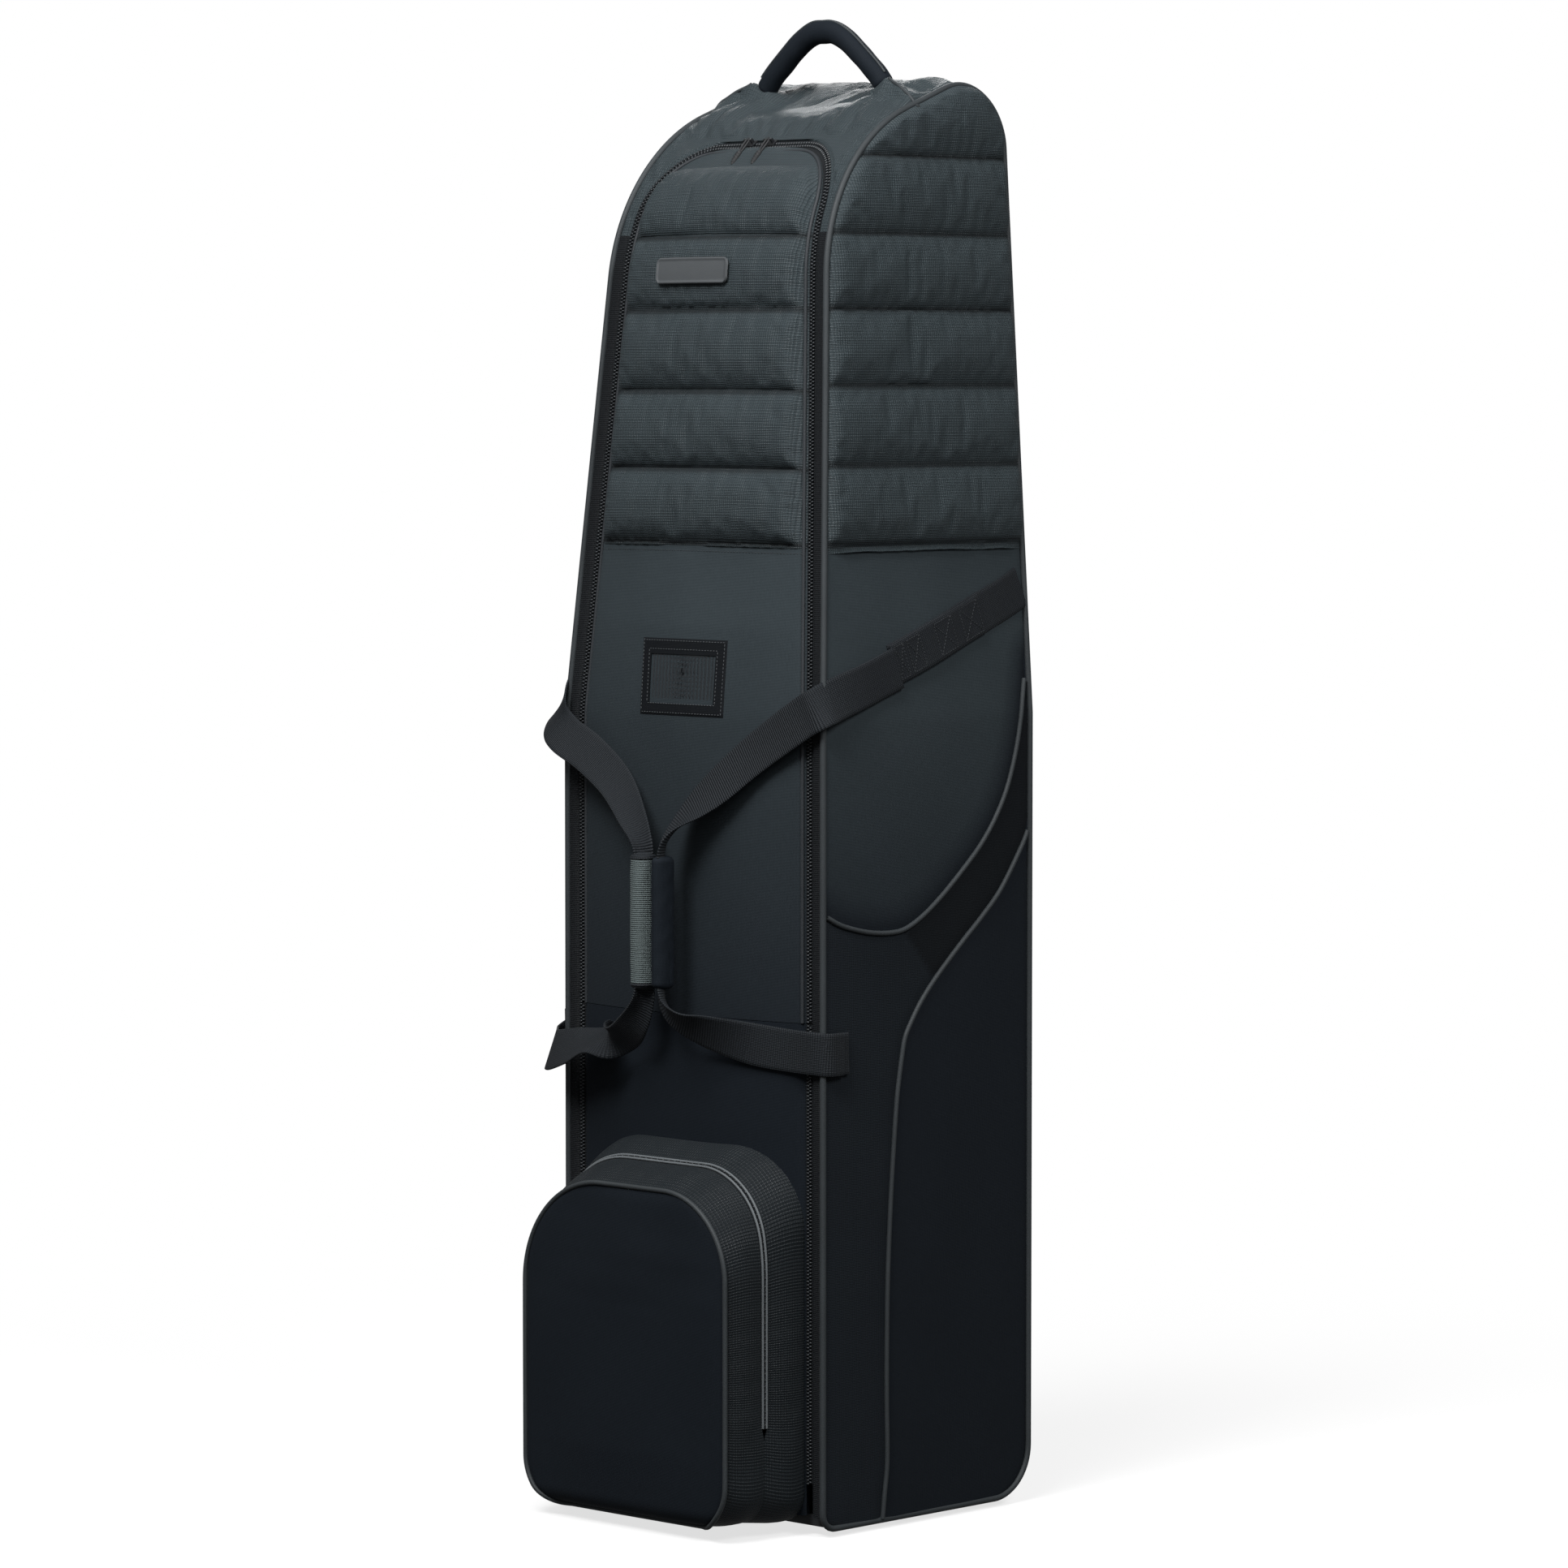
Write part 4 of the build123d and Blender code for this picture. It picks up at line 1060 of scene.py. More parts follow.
for side, sign in (("left", -1), ("right", 1)):
    quilt = side_sheet(f"{side}_side_quilt", sign, QUILT_FOOT - 4, APEX, 3.0, 76, True)
    paint_groove_shade(quilt, SIDE_GROOVES[:-1])
    stuff(quilt, side_hold(quilt))
    lined(quilt)
    settle(quilt, [quilt_cloth, lining_cloth], "shell", [])
    lower = side_sheet(f"{side}_side_lower", sign, UNDERSIDE, QUILT_FOOT - 4, 5.0, 64)
    mark_regions(lower)
    lined(lower, 11.0)
    settle(lower, [side_cloth, lining_cloth], "shell",
           [f"{side}_side_panel"])

# Painted light: the door's lower cloth is lightened more the higher it lies, from 400 mm to 820
# mm.
painted_top_light_mark = door_lower.data.attributes.new("painted_top_light", "FLOAT", "POINT")
door_co = read(door_lower) / MM
painted_top_light_mark.data.foreach_set(
    "value", np.clip((door_co[:, 2] - 400) / 420, 0, 1).astype(np.float32))
region_mark = door_lower.data.attributes.new("seam_region", "FLOAT", "POINT")
region_mark.data.foreach_set("value", np.full(len(door_co), -9, np.float32))


# ---- Piping ----

def side_points(sign, line, lift):
    y, z = line[:, 0], line[:, 1]
    return np.stack(flank(sign, y, z, side_lift(y, z, int(sign)) + lift), 1)


for side, sign in (("left", -1), ("right", 1)):
    around = np.linspace(0, body.length, 760)[:-1]
    y, z = body.at(around)
    ny, nz = body.out(around)
    rim = np.stack([sign * (half_width(z) + 0.4), y + 0.4 * ny, z + 0.4 * nz], 1)
    welts = [
        tube("rim_welt", rim, 2.9, True),
        tube("upper_welt", side_points(sign, line_a[2:-8], 0.2), 2.2),
        tube("lower_welt", side_points(sign, line_b[3:], 0.2), 2.2),
    ]
    piping = joined(f"{side}_side_piping", welts)
    settle(piping, piping_cloth, "shell")


# ---- Main zipper ----

def zip_width(z):
    return half_width(z) - ZIP_INSET


ARCH = Outline(rounded([
    (-zip_width(DOOR_FOOT), DOOR_FOOT, 0), (-zip_width(TAPER_Z), TAPER_Z, 300),
    (-zip_width(ZIP_TOP), ZIP_TOP, ZIP_CORNER), (zip_width(ZIP_TOP), ZIP_TOP, ZIP_CORNER),
    (zip_width(TAPER_Z), TAPER_Z, 300), (zip_width(DOOR_FOOT), DOOR_FOOT, 0),
]))


def tape_sheet(name, path, inner, outer, lift, count):
    """Zipper tape between two offsets from a line on the front."""
    def spot(u, v):
        s = v * path.length
        x, z = path.at(s)
        nx, nz = path.out(s)
        g = inner + (outer - inner) * u
        return x + nx * g, z + nz * g, g, s

    def place(u, v):
        x, z, _, _ = spot(u, v)
        return skin(x, body.rising(z), np.full_like(x, lift))

    def weave(u, v):
        _, _, g, s = spot(u, v)
        return g, s

    tape = sheet_of(name, 4, count, place, weave, (0, -1, 0.3))
    finish_with(tape, "SOLIDIFY", thickness=1.4 * MM, offset=-1)
    smooth(tape)
    return tape


def tooth(long, thick, high):
    """One coil turn, lying across the zipper."""
    clear()
    bpy.ops.mesh.primitive_cube_add(size=1)
    piece = bpy.context.object
    write(piece, read(piece) * np.array([long, thick, high]) * MM)
    edit(piece, lambda: bpy.ops.mesh.bevel(offset=thick * 0.3 * MM, segments=1))
    return piece


def front_frames(path, pitch, offset, lift, start=0.0, stop=None):
    """Places along a line on the front: across, along and outward axes."""
    made = []
    stop = path.length if stop is None else stop
    for s in np.arange(start, stop, pitch):
        x, z = path.at(s)
        nx, nz = path.out(s)
        here = np.array(skin(x + nx * offset, body.rising(z + nz * offset), lift), float)
        across = np.array(skin(x + nx * (offset + 1), body.rising(z + nz * (offset + 1)), lift),
                          float) - here
        _, ny, nzz = skin(0, body.rising(z), 1)
        by, bz = body.at(body.rising(z))
        up = np.array([0, ny - by, nzz - bz])
        across = across / np.linalg.norm(across)
        along = np.cross(up, across)
        along = along / np.linalg.norm(along)
        frame4 = np.eye(4)
        frame4[:3, 0], frame4[:3, 1], frame4[:3, 2] = across, along, np.cross(across, along)
        frame4[:3, 3] = here
        made.append(frame4)
    return made


TOOTH_PITCH = 3.1
shell_tape = tape_sheet("shell_zipper_tape", ARCH, 0.2, TAPE + 1.5, -1.0, 360)
settle(shell_tape, tape_cloth, "shell", ["shell_zipper_half"])
door_tape = tape_sheet("door_zipper_tape", ARCH, -TAPE - 1.5, -0.2, -1.0, 360)
fold_door(door_tape, tape_cloth, ["door_zipper_half"])
shell_coil = strewn("shell_zipper_coil", tooth(3.0, 1.5, 1.9),
                    front_frames(ARCH, TOOTH_PITCH, 1.45, -0.4))
settle(shell_coil, coil, "shell")
door_coil = strewn("door_zipper_coil", tooth(3.0, 1.5, 1.9),
                   front_frames(ARCH, TOOTH_PITCH, -1.45, -0.4, TOOTH_PITCH / 2))
fold_door(door_coil, coil)

low_tapes, low_coils = [], []
for sign in (-1, 1):
    run = Outline([(sign * zip_width(300), DOOR_FOOT - 0.8), (sign * zip_width(300), 47.0)][::-1])
    low_tapes.append(tape_sheet("low_tape", run, -TAPE - 1.5, TAPE + 1.5, -1.0, 80))
    low_coils += front_frames(run, TOOTH_PITCH, 1.45, -0.4)
    low_coils += front_frames(run, TOOTH_PITCH, -1.45, -0.4, TOOTH_PITCH / 2)
low_tape = joined("lower_zipper_tape", low_tapes)
settle(low_tape, tape_cloth, "shell", ["lower_zipper_runs"])
low_coil = strewn("lower_zipper_coil", tooth(3.0, 1.5, 1.9), low_coils)
settle(low_coil, coil, "shell")

# The door's edge is bound with a fine cord beside the zipper.
cord_line = []
for s in np.linspace(0, ARCH.length, 420):
    x, z = ARCH.at(s)
    nx, nz = ARCH.out(s)
    cord_line.append(skin(x - nx * 7.0, body.rising(z - nz * 7.0), 1.0))
door_binding = tube("door_binding", cord_line, 1.7)
fold_door(door_binding, piping_finish("door_cord", (0.024, 0.028, 0.032), (0.011, 0.013, 0.016)))


# ---- Pocket ----

POCKET_FACE = Outline(rounded([(0, 12, 0), (-124, 12, 42), (-124, 307, 96), (127, 307, 76),
                               (127, 12, 42), (1, 12, 0)]))
POCKET_BACK = Outline(rounded([(0, 10, 0), (-138, 10, 28), (-138, 347, 92), (138, 347, 74),
                               (138, 10, 28), (1, 10, 0)]))
POCKET_ROUND = 16.0


def tuck(z):
    """How far the pocket's face has turned under at height z."""
    drop = np.clip(12 + POCKET_ROUND - z, 0, POCKET_ROUND)
    return POCKET_ROUND - np.sqrt(POCKET_ROUND**2 - drop**2)


def ring_at(outline, angle):
    """A point of an outline in a direction from the pocket's middle."""
    a = np.unwrap(np.arctan2(outline.b - 150, outline.a))
    order = np.argsort(a)
    low = a[order][0]
    want = low + (angle - low) % (2 * math.pi)
    return (np.interp(want, a[order], outline.a[order]),
            np.interp(want, a[order], outline.b[order]))


def pocket_wall(angle, share, lift):
    """A point of the gusset: share 0 at the face's seam, 1 at the body."""
    fx, fz = ring_at(POCKET_FACE, angle)
    bx, bz = ring_at(POCKET_BACK, angle)
    fy = POCKET_FRONT + tuck(fz)
    x, z = fx + (bx - fx) * share, fz + (bz - fz) * share
    y = fy + (FRONT_Y - fy) * share
    out = np.stack([x, z - 150], 0)
    out = out / np.hypot(*out)
    return x + out[0] * lift, y, z + out[1] * lift


def wall_lift(angle, share, z):
    half = np.where(share < 0.5, share * 2, share * 2 - 1)
    belly = np.sin(math.pi * np.clip(half, 0, 1))
    bulge = 3.4 * belly * np.interp(z, [14, 40, 130], [0.5, 1.3, 1])
    waves_in = 1.5 * ripple(angle * 60, share * 45, 30, 41)
    low = np.interp(z, [100, 150], [1, 0])
    foot = np.interp(z, [14, 45], [0.1, 1])
    crumple = 1.6 * ripple(angle * 90, share * 60 + angle * 20, 34, 42) * low * foot
    return bulge + (waves_in * 0.5 + crumple) * belly


def zip_share(angle):
    """Where the zipper's line lies between the face's seam and the body."""
    fz = ring_at(POCKET_FACE, angle)[1]
    fy = POCKET_FRONT + tuck(fz)
    return np.clip((POCKET_ZIP - fy) / (FRONT_Y - fy), 0.12, 0.9)


def pocket_gusset(name, front):
    def spot(u, v):
        angle = math.pi * (2 * v - 0.5)
        line = zip_share(angle)
        z = ring_at(POCKET_FACE, angle)[1]
        gap = TAPE / 90 * np.clip((z - 92) / 14, 0, 1)
        if front:
            share = (line - gap) * u
            half = u * 0.5
        else:
            share = line + gap + (1 - line - gap) * u
            half = 0.5 + u * 0.5
        return angle, share, half, z

    def place(u, v):
        angle, share, half, z = spot(u, v)
        return pocket_wall(angle, share, wall_lift(angle, half, z) - 0.5)

    def weave(u, v):
        angle, share, _, _ = spot(u, v)
        return angle * 150, share * 90

    sheet = sheet_of(name, 14, 260, place, weave, (0, 0, 0))
    edit(sheet, lambda: bpy.ops.mesh.remove_doubles(threshold=0.00005))
    faces = sheet.data.polygons
    poly = faces[len(faces) // 2]
    centre = np.array(poly.center)
    if np.dot(np.array(poly.normal), centre - np.array([0, centre[1], 0.150])) < 0:
        edit(sheet, lambda: bpy.ops.mesh.flip_normals())
    lined(sheet, 4.0)
    return sheet


def face_sides(z):
    """The pocket face's left and right edges at height z."""
    top = POCKET_FACE.top
    return (np.interp(z, POCKET_FACE.b[:top + 1], POCKET_FACE.a[:top + 1]),
            np.interp(z, POCKET_FACE.b[top:][::-1], POCKET_FACE.a[top:][::-1]))


def pocket_face():
    low = 12 + 42 - 42 * np.cos(np.linspace(0, math.pi / 2, 18)[:-1])
    top = 307 - 96 + 96 * np.sin(np.linspace(0, math.pi / 2, 34)[1:])
    heights = np.concatenate([low, rows_of(54, 211, 4.0), top])
    share = np.linspace(0, 1, len(heights))

    def spot(u, v):
        z = np.interp(v, share, heights)
        left, right = face_sides(z)
        return left + (right - left) * u, z

    def place(u, v):
        x, z = spot(u, v)
        left, right = face_sides(z)
        inside = np.minimum(np.minimum(x - left, right - x), np.minimum(z - 12, 307 - z))
        shoulder = fold_in(np.clip(inside, 0, None), 14)
        q = np.clip(np.abs(x) / 127, 0, 1)
        dome = 4.0 * (1 - q**2) * np.clip((307 - z) / 60, 0, 1) * np.clip((z - 12) / 60, 0, 1)
        soft = 1.2 * ripple(x, z * 0.6, 110, 43) + 0.5 * ripple(x * 0.4, z, 40, 44) * (z > 200)
        d = shoulder * 2.4 - 1.4 + dome + soft * shoulder
        under = np.clip((12 + POCKET_ROUND - z) / POCKET_ROUND, 0, 1)
        return x, POCKET_FRONT + tuck(z) - d * np.sqrt(1 - under**2 * 0.999), z - d * under

    return sheet_of("pocket_face", 60, len(heights), place, spot, (0, -1, 0))


def hinge_pocket(piece, finish, replaces=()):
    settle(piece, finish, None, replaces)
    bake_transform(piece)


face = pocket_face()
lined(face, 4.5)
hinge_pocket(face, [plain_cloth, lining_cloth], ["pocket_front_panel"])
gusset_front = pocket_gusset("pocket_front_wall", True)
hinge_pocket(gusset_front, [gusset_cloth, lining_cloth],
             ["pocket_front_gusset"])
gusset_rear = pocket_gusset("pocket_rear_wall", False)
settle(gusset_rear, [gusset_cloth, lining_cloth], "shell",
       ["pocket_rear_gusset", "pocket_lower_shell"])

turn = np.linspace(-math.pi / 2, 1.5 * math.pi, 420)[:-1]
welt_line = np.stack(pocket_wall(turn, np.zeros_like(turn), 0.8), 1)
pocket_piping = tube("pocket_piping", welt_line, 2.2, True)
hinge_pocket(pocket_piping, piping_cloth)

low_end = math.atan2(POCKET_FOLD + 1 - 150, 131)
turns = np.linspace(low_end, math.pi - low_end, 300)


def pocket_band(name, inner, outer, lift, finish, rides, replaces=()):
    def spot(u, v):
        angle = low_end + (math.pi - 2 * low_end) * v
        return angle, zip_share(angle) + (inner + (outer - inner) * u) / 90

    def place(u, v):
        angle, share = spot(u, v)
        return pocket_wall(angle, share, np.full_like(angle, lift))

    def weave(u, v):
        return (inner + (outer - inner) * u), v * 620

    band = sheet_of(name, 4, 200, place, weave, (0, 0, 1))
    finish_with(band, "SOLIDIFY", thickness=1.2 * MM, offset=-1)
    smooth(band)
    settle(band, finish, rides, replaces)


pocket_band("pocket_tape_front", -TAPE - 1.5, -0.2, -0.9, tape_cloth, "pocket_flap",
            ["pocket_zipper_front_half"])
pocket_band("pocket_tape_rear", 0.2, TAPE + 1.5, -0.9, tape_cloth, "shell",
            ["pocket_zipper_rear_half"])
for name, offset, rides in (("front", -2.1, "pocket_flap"), ("rear", 2.1, "shell")):
    edge = np.stack(pocket_wall(turns, zip_share(turns) + offset / 90,
                                np.full_like(turns, -0.1)), 1)
    settle(tube(f"pocket_zip_line_{name}", edge, 1.15), zip_line_cloth, rides)


def pocket_frames(offset, start):
    made = []
    for angle in np.linspace(low_end, math.pi - low_end, 190)[start::2]:
        angle = np.array([angle])
        share = zip_share(angle) + offset / 90
        p = np.array(pocket_wall(angle, share, 0.0)).ravel()
        q = np.array(pocket_wall(angle, share + 0.01, 0.0)).ravel()
        r = np.array(pocket_wall(angle + 0.01, share, 0.0)).ravel()
        across, along = q - p, r - p
        across, along = across / np.linalg.norm(across), along / np.linalg.norm(along)
        up = np.cross(across, along)
        up = up / np.linalg.norm(up)
        if up @ (p - np.array([0, p[1], 150])) < 0:
            up = -up
        place = np.eye(4)
        place[:3, 0], place[:3, 1], place[:3, 2] = across, np.cross(up, across), up
        place[:3, 3] = p - up * 0.5
        made.append(place)
    return made


settle(strewn("pocket_coil_front", tooth(1.8, 1.6, 1.6), pocket_frames(-0.95, 0)), coil,
       "pocket_flap")
settle(strewn("pocket_coil_rear", tooth(1.8, 1.6, 1.6), pocket_frames(0.95, 1)), coil,
       "shell")


# ---- Window and patch ----

WINDOW = (52.0, 721.0, 789.0)
BORDER = 12.0


def on_front(x, z, lift):
    return skin(x, body.rising(z), front_lift(x, z) + lift)


def window_sheet(name, half, low, high, lift, cells):
    def spot(u, v):
        return (2 * u - 1) * half, low + (high - low) * v

    def place(u, v):
        x, z = spot(u, v)
        inside = np.minimum(half - np.abs(x), np.minimum(z - low, high - z))
        return on_front(x, z, lift + 0.9 * fold_in(np.clip(inside, 0, None), 3))

    return sheet_of(name, *cells, place, spot, (0, -1, 0))


window_frame = window_sheet("id_window_border", *WINDOW, 0.2, (52, 34))
pick(window_frame)
bpy.ops.object.mode_set(mode="EDIT")
bpy.ops.mesh.select_all(action="DESELECT")
bpy.ops.object.mode_set(mode="OBJECT")
for polygon in window_frame.data.polygons:
    cx, cz = polygon.center[0] / MM, polygon.center[2] / MM
    polygon.select = (abs(cx) < WINDOW[0] - BORDER
                      and WINDOW[1] + BORDER < cz < WINDOW[2] - BORDER)
bpy.ops.object.mode_set(mode="EDIT")
bpy.ops.mesh.delete(type="FACE")
bpy.ops.object.mode_set(mode="OBJECT")
finish_with(window_frame, "SOLIDIFY", thickness=1.6 * MM, offset=-1)
smooth(window_frame, 50)
settle(window_frame, window_cloth, "door", ["id_window_frame"])
pane = window_sheet("id_window_film", WINDOW[0] - BORDER + 1.5, WINDOW[1] + BORDER - 1.5,
                    WINDOW[2] - BORDER + 1.5, -0.9, (20, 12))
finish_with(pane, "SOLIDIFY", thickness=0.5 * MM, offset=-1)
settle(pane, window_film, "door", ["id_window_pane"])


def stitch_piece():
    clear()
    bpy.ops.mesh.primitive_uv_sphere_add(segments=6, ring_count=4, radius=1)
    piece = bpy.context.object
    write(piece, read(piece) * np.array([1.25, 0.42, 0.38]) * MM)
    return piece


def along_frames(points, ups, pitch):
    """Places spread along a line: x along it, z away from the cloth."""
    p, n = np.asarray(points, float), np.asarray(ups, float)
    s = np.concatenate([[0], np.cumsum(np.linalg.norm(np.diff(p, axis=0), axis=1))])
    made = []
    for at in np.arange(pitch / 2, s[-1], pitch):
        here = np.array([np.interp(at, s, p[:, k]) for k in range(3)])
        there = np.array([np.interp(at + 0.8, s, p[:, k]) for k in range(3)])
        up = np.array([np.interp(at, s, n[:, k]) for k in range(3)])
        x = there - here
        size = np.linalg.norm(x)
        if size < 1e-6:
            continue
        x = x / size
        up = up - x * (up @ x)
        up = up / np.linalg.norm(up)
        place = np.eye(4)
        place[:3, 0], place[:3, 1], place[:3, 2] = x, np.cross(up, x), up
        place[:3, 3] = here
        made.append(place)
    return made


def front_line(corners, lift):
    """Points along straight runs between (x, z) corners on the front."""
    points = []
    for (x0, z0), (x1, z1) in zip(corners, corners[1:]):
        t = np.linspace(0, 1, 24)
        x, z = x0 + (x1 - x0) * t, z0 + (z1 - z0) * t
        points.append(np.stack(on_front(x, z, lift), 1))
    return np.concatenate(points)


def rectangle(inset):
    half, low, high = WINDOW[0] - inset, WINDOW[1] + inset, WINDOW[2] - inset
    return [(-half, low), (half, low), (half, high), (-half, high), (-half, low)]


window_runs = []
for inset in (2.2, BORDER - 2.2):
    run = front_line(rectangle(inset), 1.25)
    window_runs += along_frames(run, np.tile((0, -1, 0.1), (len(run), 1)), 3.4)
window_stitches = strewn("id_window_stitches", stitch_piece(), window_runs)
settle(window_stitches, window_thread, "door")

SEAM_STITCH_Z, SEAM_STITCH_INSET, SEAM_STITCH_PITCH = SEAM_Z + 1.5, 4, 3.6
edge = float(door_edge(np.array([SEAM_STITCH_Z]), -TAPE)[0]) - SEAM_STITCH_INSET
run = front_line([(-edge, SEAM_STITCH_Z), (edge, SEAM_STITCH_Z)], 0.15)
seam_runs = along_frames(run, np.tile((0, -1, 0.1), (len(run), 1)), SEAM_STITCH_PITCH)
settle(strewn("door_seam_stitches", stitch_piece(), seam_runs), thread, "door")


def badge():
    """A blank moulded badge with a raised rim, lying on the padding."""
    turn = PATCH_CORNER * np.sin(np.linspace(0, math.pi / 2, 9)[1:])
    level = np.linspace(-PATCH_H / 2 + PATCH_CORNER, PATCH_H / 2 - PATCH_CORNER, 20)
    rows = np.concatenate([level[0] - turn[::-1], level, level[-1] + turn])
    share = np.linspace(0, 1, len(rows))

    def spot(u, v):
        up = np.interp(v, share, rows)
        over = np.clip(np.abs(up) - (PATCH_H / 2 - PATCH_CORNER), 0, PATCH_CORNER)
        half = PATCH_HALF - PATCH_CORNER + np.sqrt(PATCH_CORNER**2 - over**2)
        return (2 * u - 1) * half, up, half

    def place(u, v):
        x, up, half = spot(u, v)
        inside = np.clip(np.minimum(half - np.abs(x), PATCH_H / 2 - np.abs(up)), 0, None)
        rim = fold_in(inside, 0.9) * 2.0 - 0.8 * np.clip((inside - 2.0) / 0.6, 0, 1)
        px, pz = PATCH_X + x, PATCH_Z + up
        level = front_lift(px, np.full_like(px, PATCH_Z)) + 2.6 - (up / 26) ** 2 * 1.5
        return skin(px, body.rising(pz), level + rim)

    def weave(u, v):
        x, up, _ = spot(u, v)
        return x, up

    return sheet_of("rubber_badge", 116, len(rows), place, weave, (0, -1, 0))


patch = badge()
finish_with(patch, "SOLIDIFY", thickness=2.2 * MM, offset=-1)
smooth(patch, 50)
settle(patch, patch_rubber, "door", ["rubber_patch"])


# ---- Webbing ----

def band(name, points, normals, widths, count=90, thickness=1.9):
    """Flat webbing along a smooth line, with its own outward normal and width at each point."""
    line = curved(points, count)
    normal = curved(normals, count)
    width = curved(np.array(widths, float)[:, None] * np.ones(3), count)[:, 0]
    tangent = np.gradient(line, axis=0)
    tangent = tangent / np.linalg.norm(tangent, axis=1)[:, None]
    across = np.cross(tangent, normal)
    across = across / np.linalg.norm(across, axis=1)[:, None]
    up = np.cross(across, tangent)
    length = np.concatenate([[0], np.cumsum(np.linalg.norm(np.diff(line, axis=0), axis=1))])
    share = np.linspace(0, 1, count)

    def at(v, table):
        return np.stack([np.interp(v, share, table[:, k]) for k in range(3)], 1)

    def place(u, v):
        w = np.interp(v, share, width)
        s = np.interp(v, share, length)
        cup = 1.6 * (1 - w / 38) * 4 * (u - 0.5) ** 2 * 6
        flutter = 0.5 * np.sin(s / 17) * (2 * u - 1)
        p = at(v, line) + at(v, across) * ((u - 0.5) * w)[:, None]
        return tuple((p + at(v, up) * (cup + flutter)[:, None]).T)

    def weave(u, v):
        return (u - 0.5) * 38, np.interp(v, share, length)

    sheet = sheet_of(name, 10, count, place, weave, (0, 0, 0))
    finish_with(sheet, "SOLIDIFY", thickness=thickness * MM, offset=0)
    finish_with(sheet, "BEVEL", width=0.5 * MM, segments=1, limit_method="ANGLE")
    smooth(sheet, 50)
    return sheet, line, up, across


def side_spot(sign, y, z, lift):
    y, z = np.array([float(y)]), np.array([float(z)])
    return np.array(flank(sign, y, z, side_lift(y, z, int(sign)) + lift), float).ravel()


def front_spot(x, z, lift):
    x, z = np.array([float(x)]), np.array([float(z)])
    return np.array(on_front(x, z, lift), float).ravel()


anchor_parts, anchor_stitches = [], []
for sign in (-1, 1):
    along = [(171, 834), (150, 825), (110, 811), (60, 793), (20, 778), (-8, 768)]
    points = [side_spot(sign, y, z, 1.0) for y, z in along]
    piece, line, up, across = band("anchor", points, [(sign, 0, 0.05)] * 6, [38] * 6, 70)
    anchor_parts.append(piece)
    over = [side_spot(sign, y, z, 3.0) for y, z in along[2:]]
    piece, line, up, across = band("anchor_over", over, [(sign, 0, 0.05)] * 4, [37] * 4, 50)
    anchor_parts.append(piece)
    up = up * np.sign(up[0, 0] * sign)
    for start, stop in ((0.04, 0.20), (0.28, 0.44), (0.60, 0.76), (0.82, 0.97)):
        i, j = int(start * 49), int(stop * 49)
        c = [line[i] + across[i] * 15, line[i] - across[i] * 15,
             line[j] - across[j] * 15, line[j] + across[j] * 15]
        for a, b in ((0, 1), (1, 2), (2, 3), (3, 0), (0, 2), (1, 3)):
            run = np.linspace(c[a], c[b], 12) + up[i] * 1.3
            anchor_stitches += along_frames(run, np.tile(up[i], (12, 1)), 3.2)
    end = [(165 * sign, -93, 429), (165 * sign, -84, 429), (165.5 * sign, -66, 429)]
    piece, line, up, across = band("anchor_end", end,
                                   [(sign, -0.1, 0)] * 3, [37] * 3, 16)
    anchor_parts.append(piece)
anchors = joined("strap_anchors", anchor_parts)
settle(anchors, web_cloth, "shell", ["strap_rear_anchors", "strap_front_anchors"])
settle(strewn("strap_stitches", stitch_piece(), anchor_stitches), thread, "shell")

GRIP_Y, GRIP_X = -143.0, 13.0
right_upper = [side_spot(1, -4, 766, 4.2), side_spot(1, -45, 752, 4.0),
               side_spot(1, -78, 742, 4.5), (160, -101, 733), (140, -104, 722),
               front_spot(91, 691, 5), front_spot(58, 664, 9), front_spot(30, 638, 17),
               (15.5, GRIP_Y + 1, 612), (13, GRIP_Y, 590)]
right_normals = [(1, 0, 0.05), (1, -0.05, 0.05), (0.95, -0.4, 0.05), (0.35, -1, 0.05),
                 (0.12, -1, 0.08), (0, -1, 0.12), (-0.1, -1, 0.2), (-0.35, -1, 0.3),
                 (-0.7, -0.8, 0.2), (-0.9, -0.5, 0)]
right_widths = [38, 38, 38, 38, 38, 38, 37, 31, 20, 16]
left_upper = [side_spot(-1, -4, 766, 4.2), side_spot(-1, -40, 752, 5.0), (-167, -80, 737),
              (-165, -104, 715), (-144, -114, 700), (-104, -121, 684), (-64, -127, 660),
              (-33, -137, 632), (-16, GRIP_Y, 610), (-13, GRIP_Y, 590)]
left_normals = [(-1, 0, 0.05), (-1, -0.1, 0.05), (-0.9, -0.5, 0.1), (-0.35, -1, 0.3),
                (0.05, -1, 0.45), (0.2, -1, 0.5), (0.3, -1, 0.5), (0.5, -1, 0.4),
                (0.8, -0.7, 0.2), (0.9, -0.5, 0)]
left_widths = [38, 38, 38, 38, 37, 36, 33, 27, 19, 16]
right_lower = [(13, GRIP_Y, 492), (14, GRIP_Y, 470), (26, -140, 455), (48, -128, 445),
               front_spot(88, 435, 5), front_spot(125, 431, 3.5), (156, -99, 430),
               (167, -91, 429), (167.5, -74, 429)]
right_lower_normals = [(-0.9, -0.5, 0), (-0.7, -0.8, -0.2), (-0.4, -1, -0.5), (-0.1, -1, -0.35),
                       (0, -1, -0.05), (0.05, -1, 0), (0.4, -1, 0), (1, -0.5, 0), (1, 0, 0)]
right_lower_widths = [16, 20, 28, 35, 38, 38, 38, 38, 38]
left_lower = [(-13, GRIP_Y, 492), (-14, GRIP_Y, 470), (-27, -141, 448), (-52, -134, 432),
              (-88, -128, 427), (-128, -122, 418), (-164, -111, 411), (-176, -92, 414),
              (-169, -74, 422), (-165.5, -62, 429)]
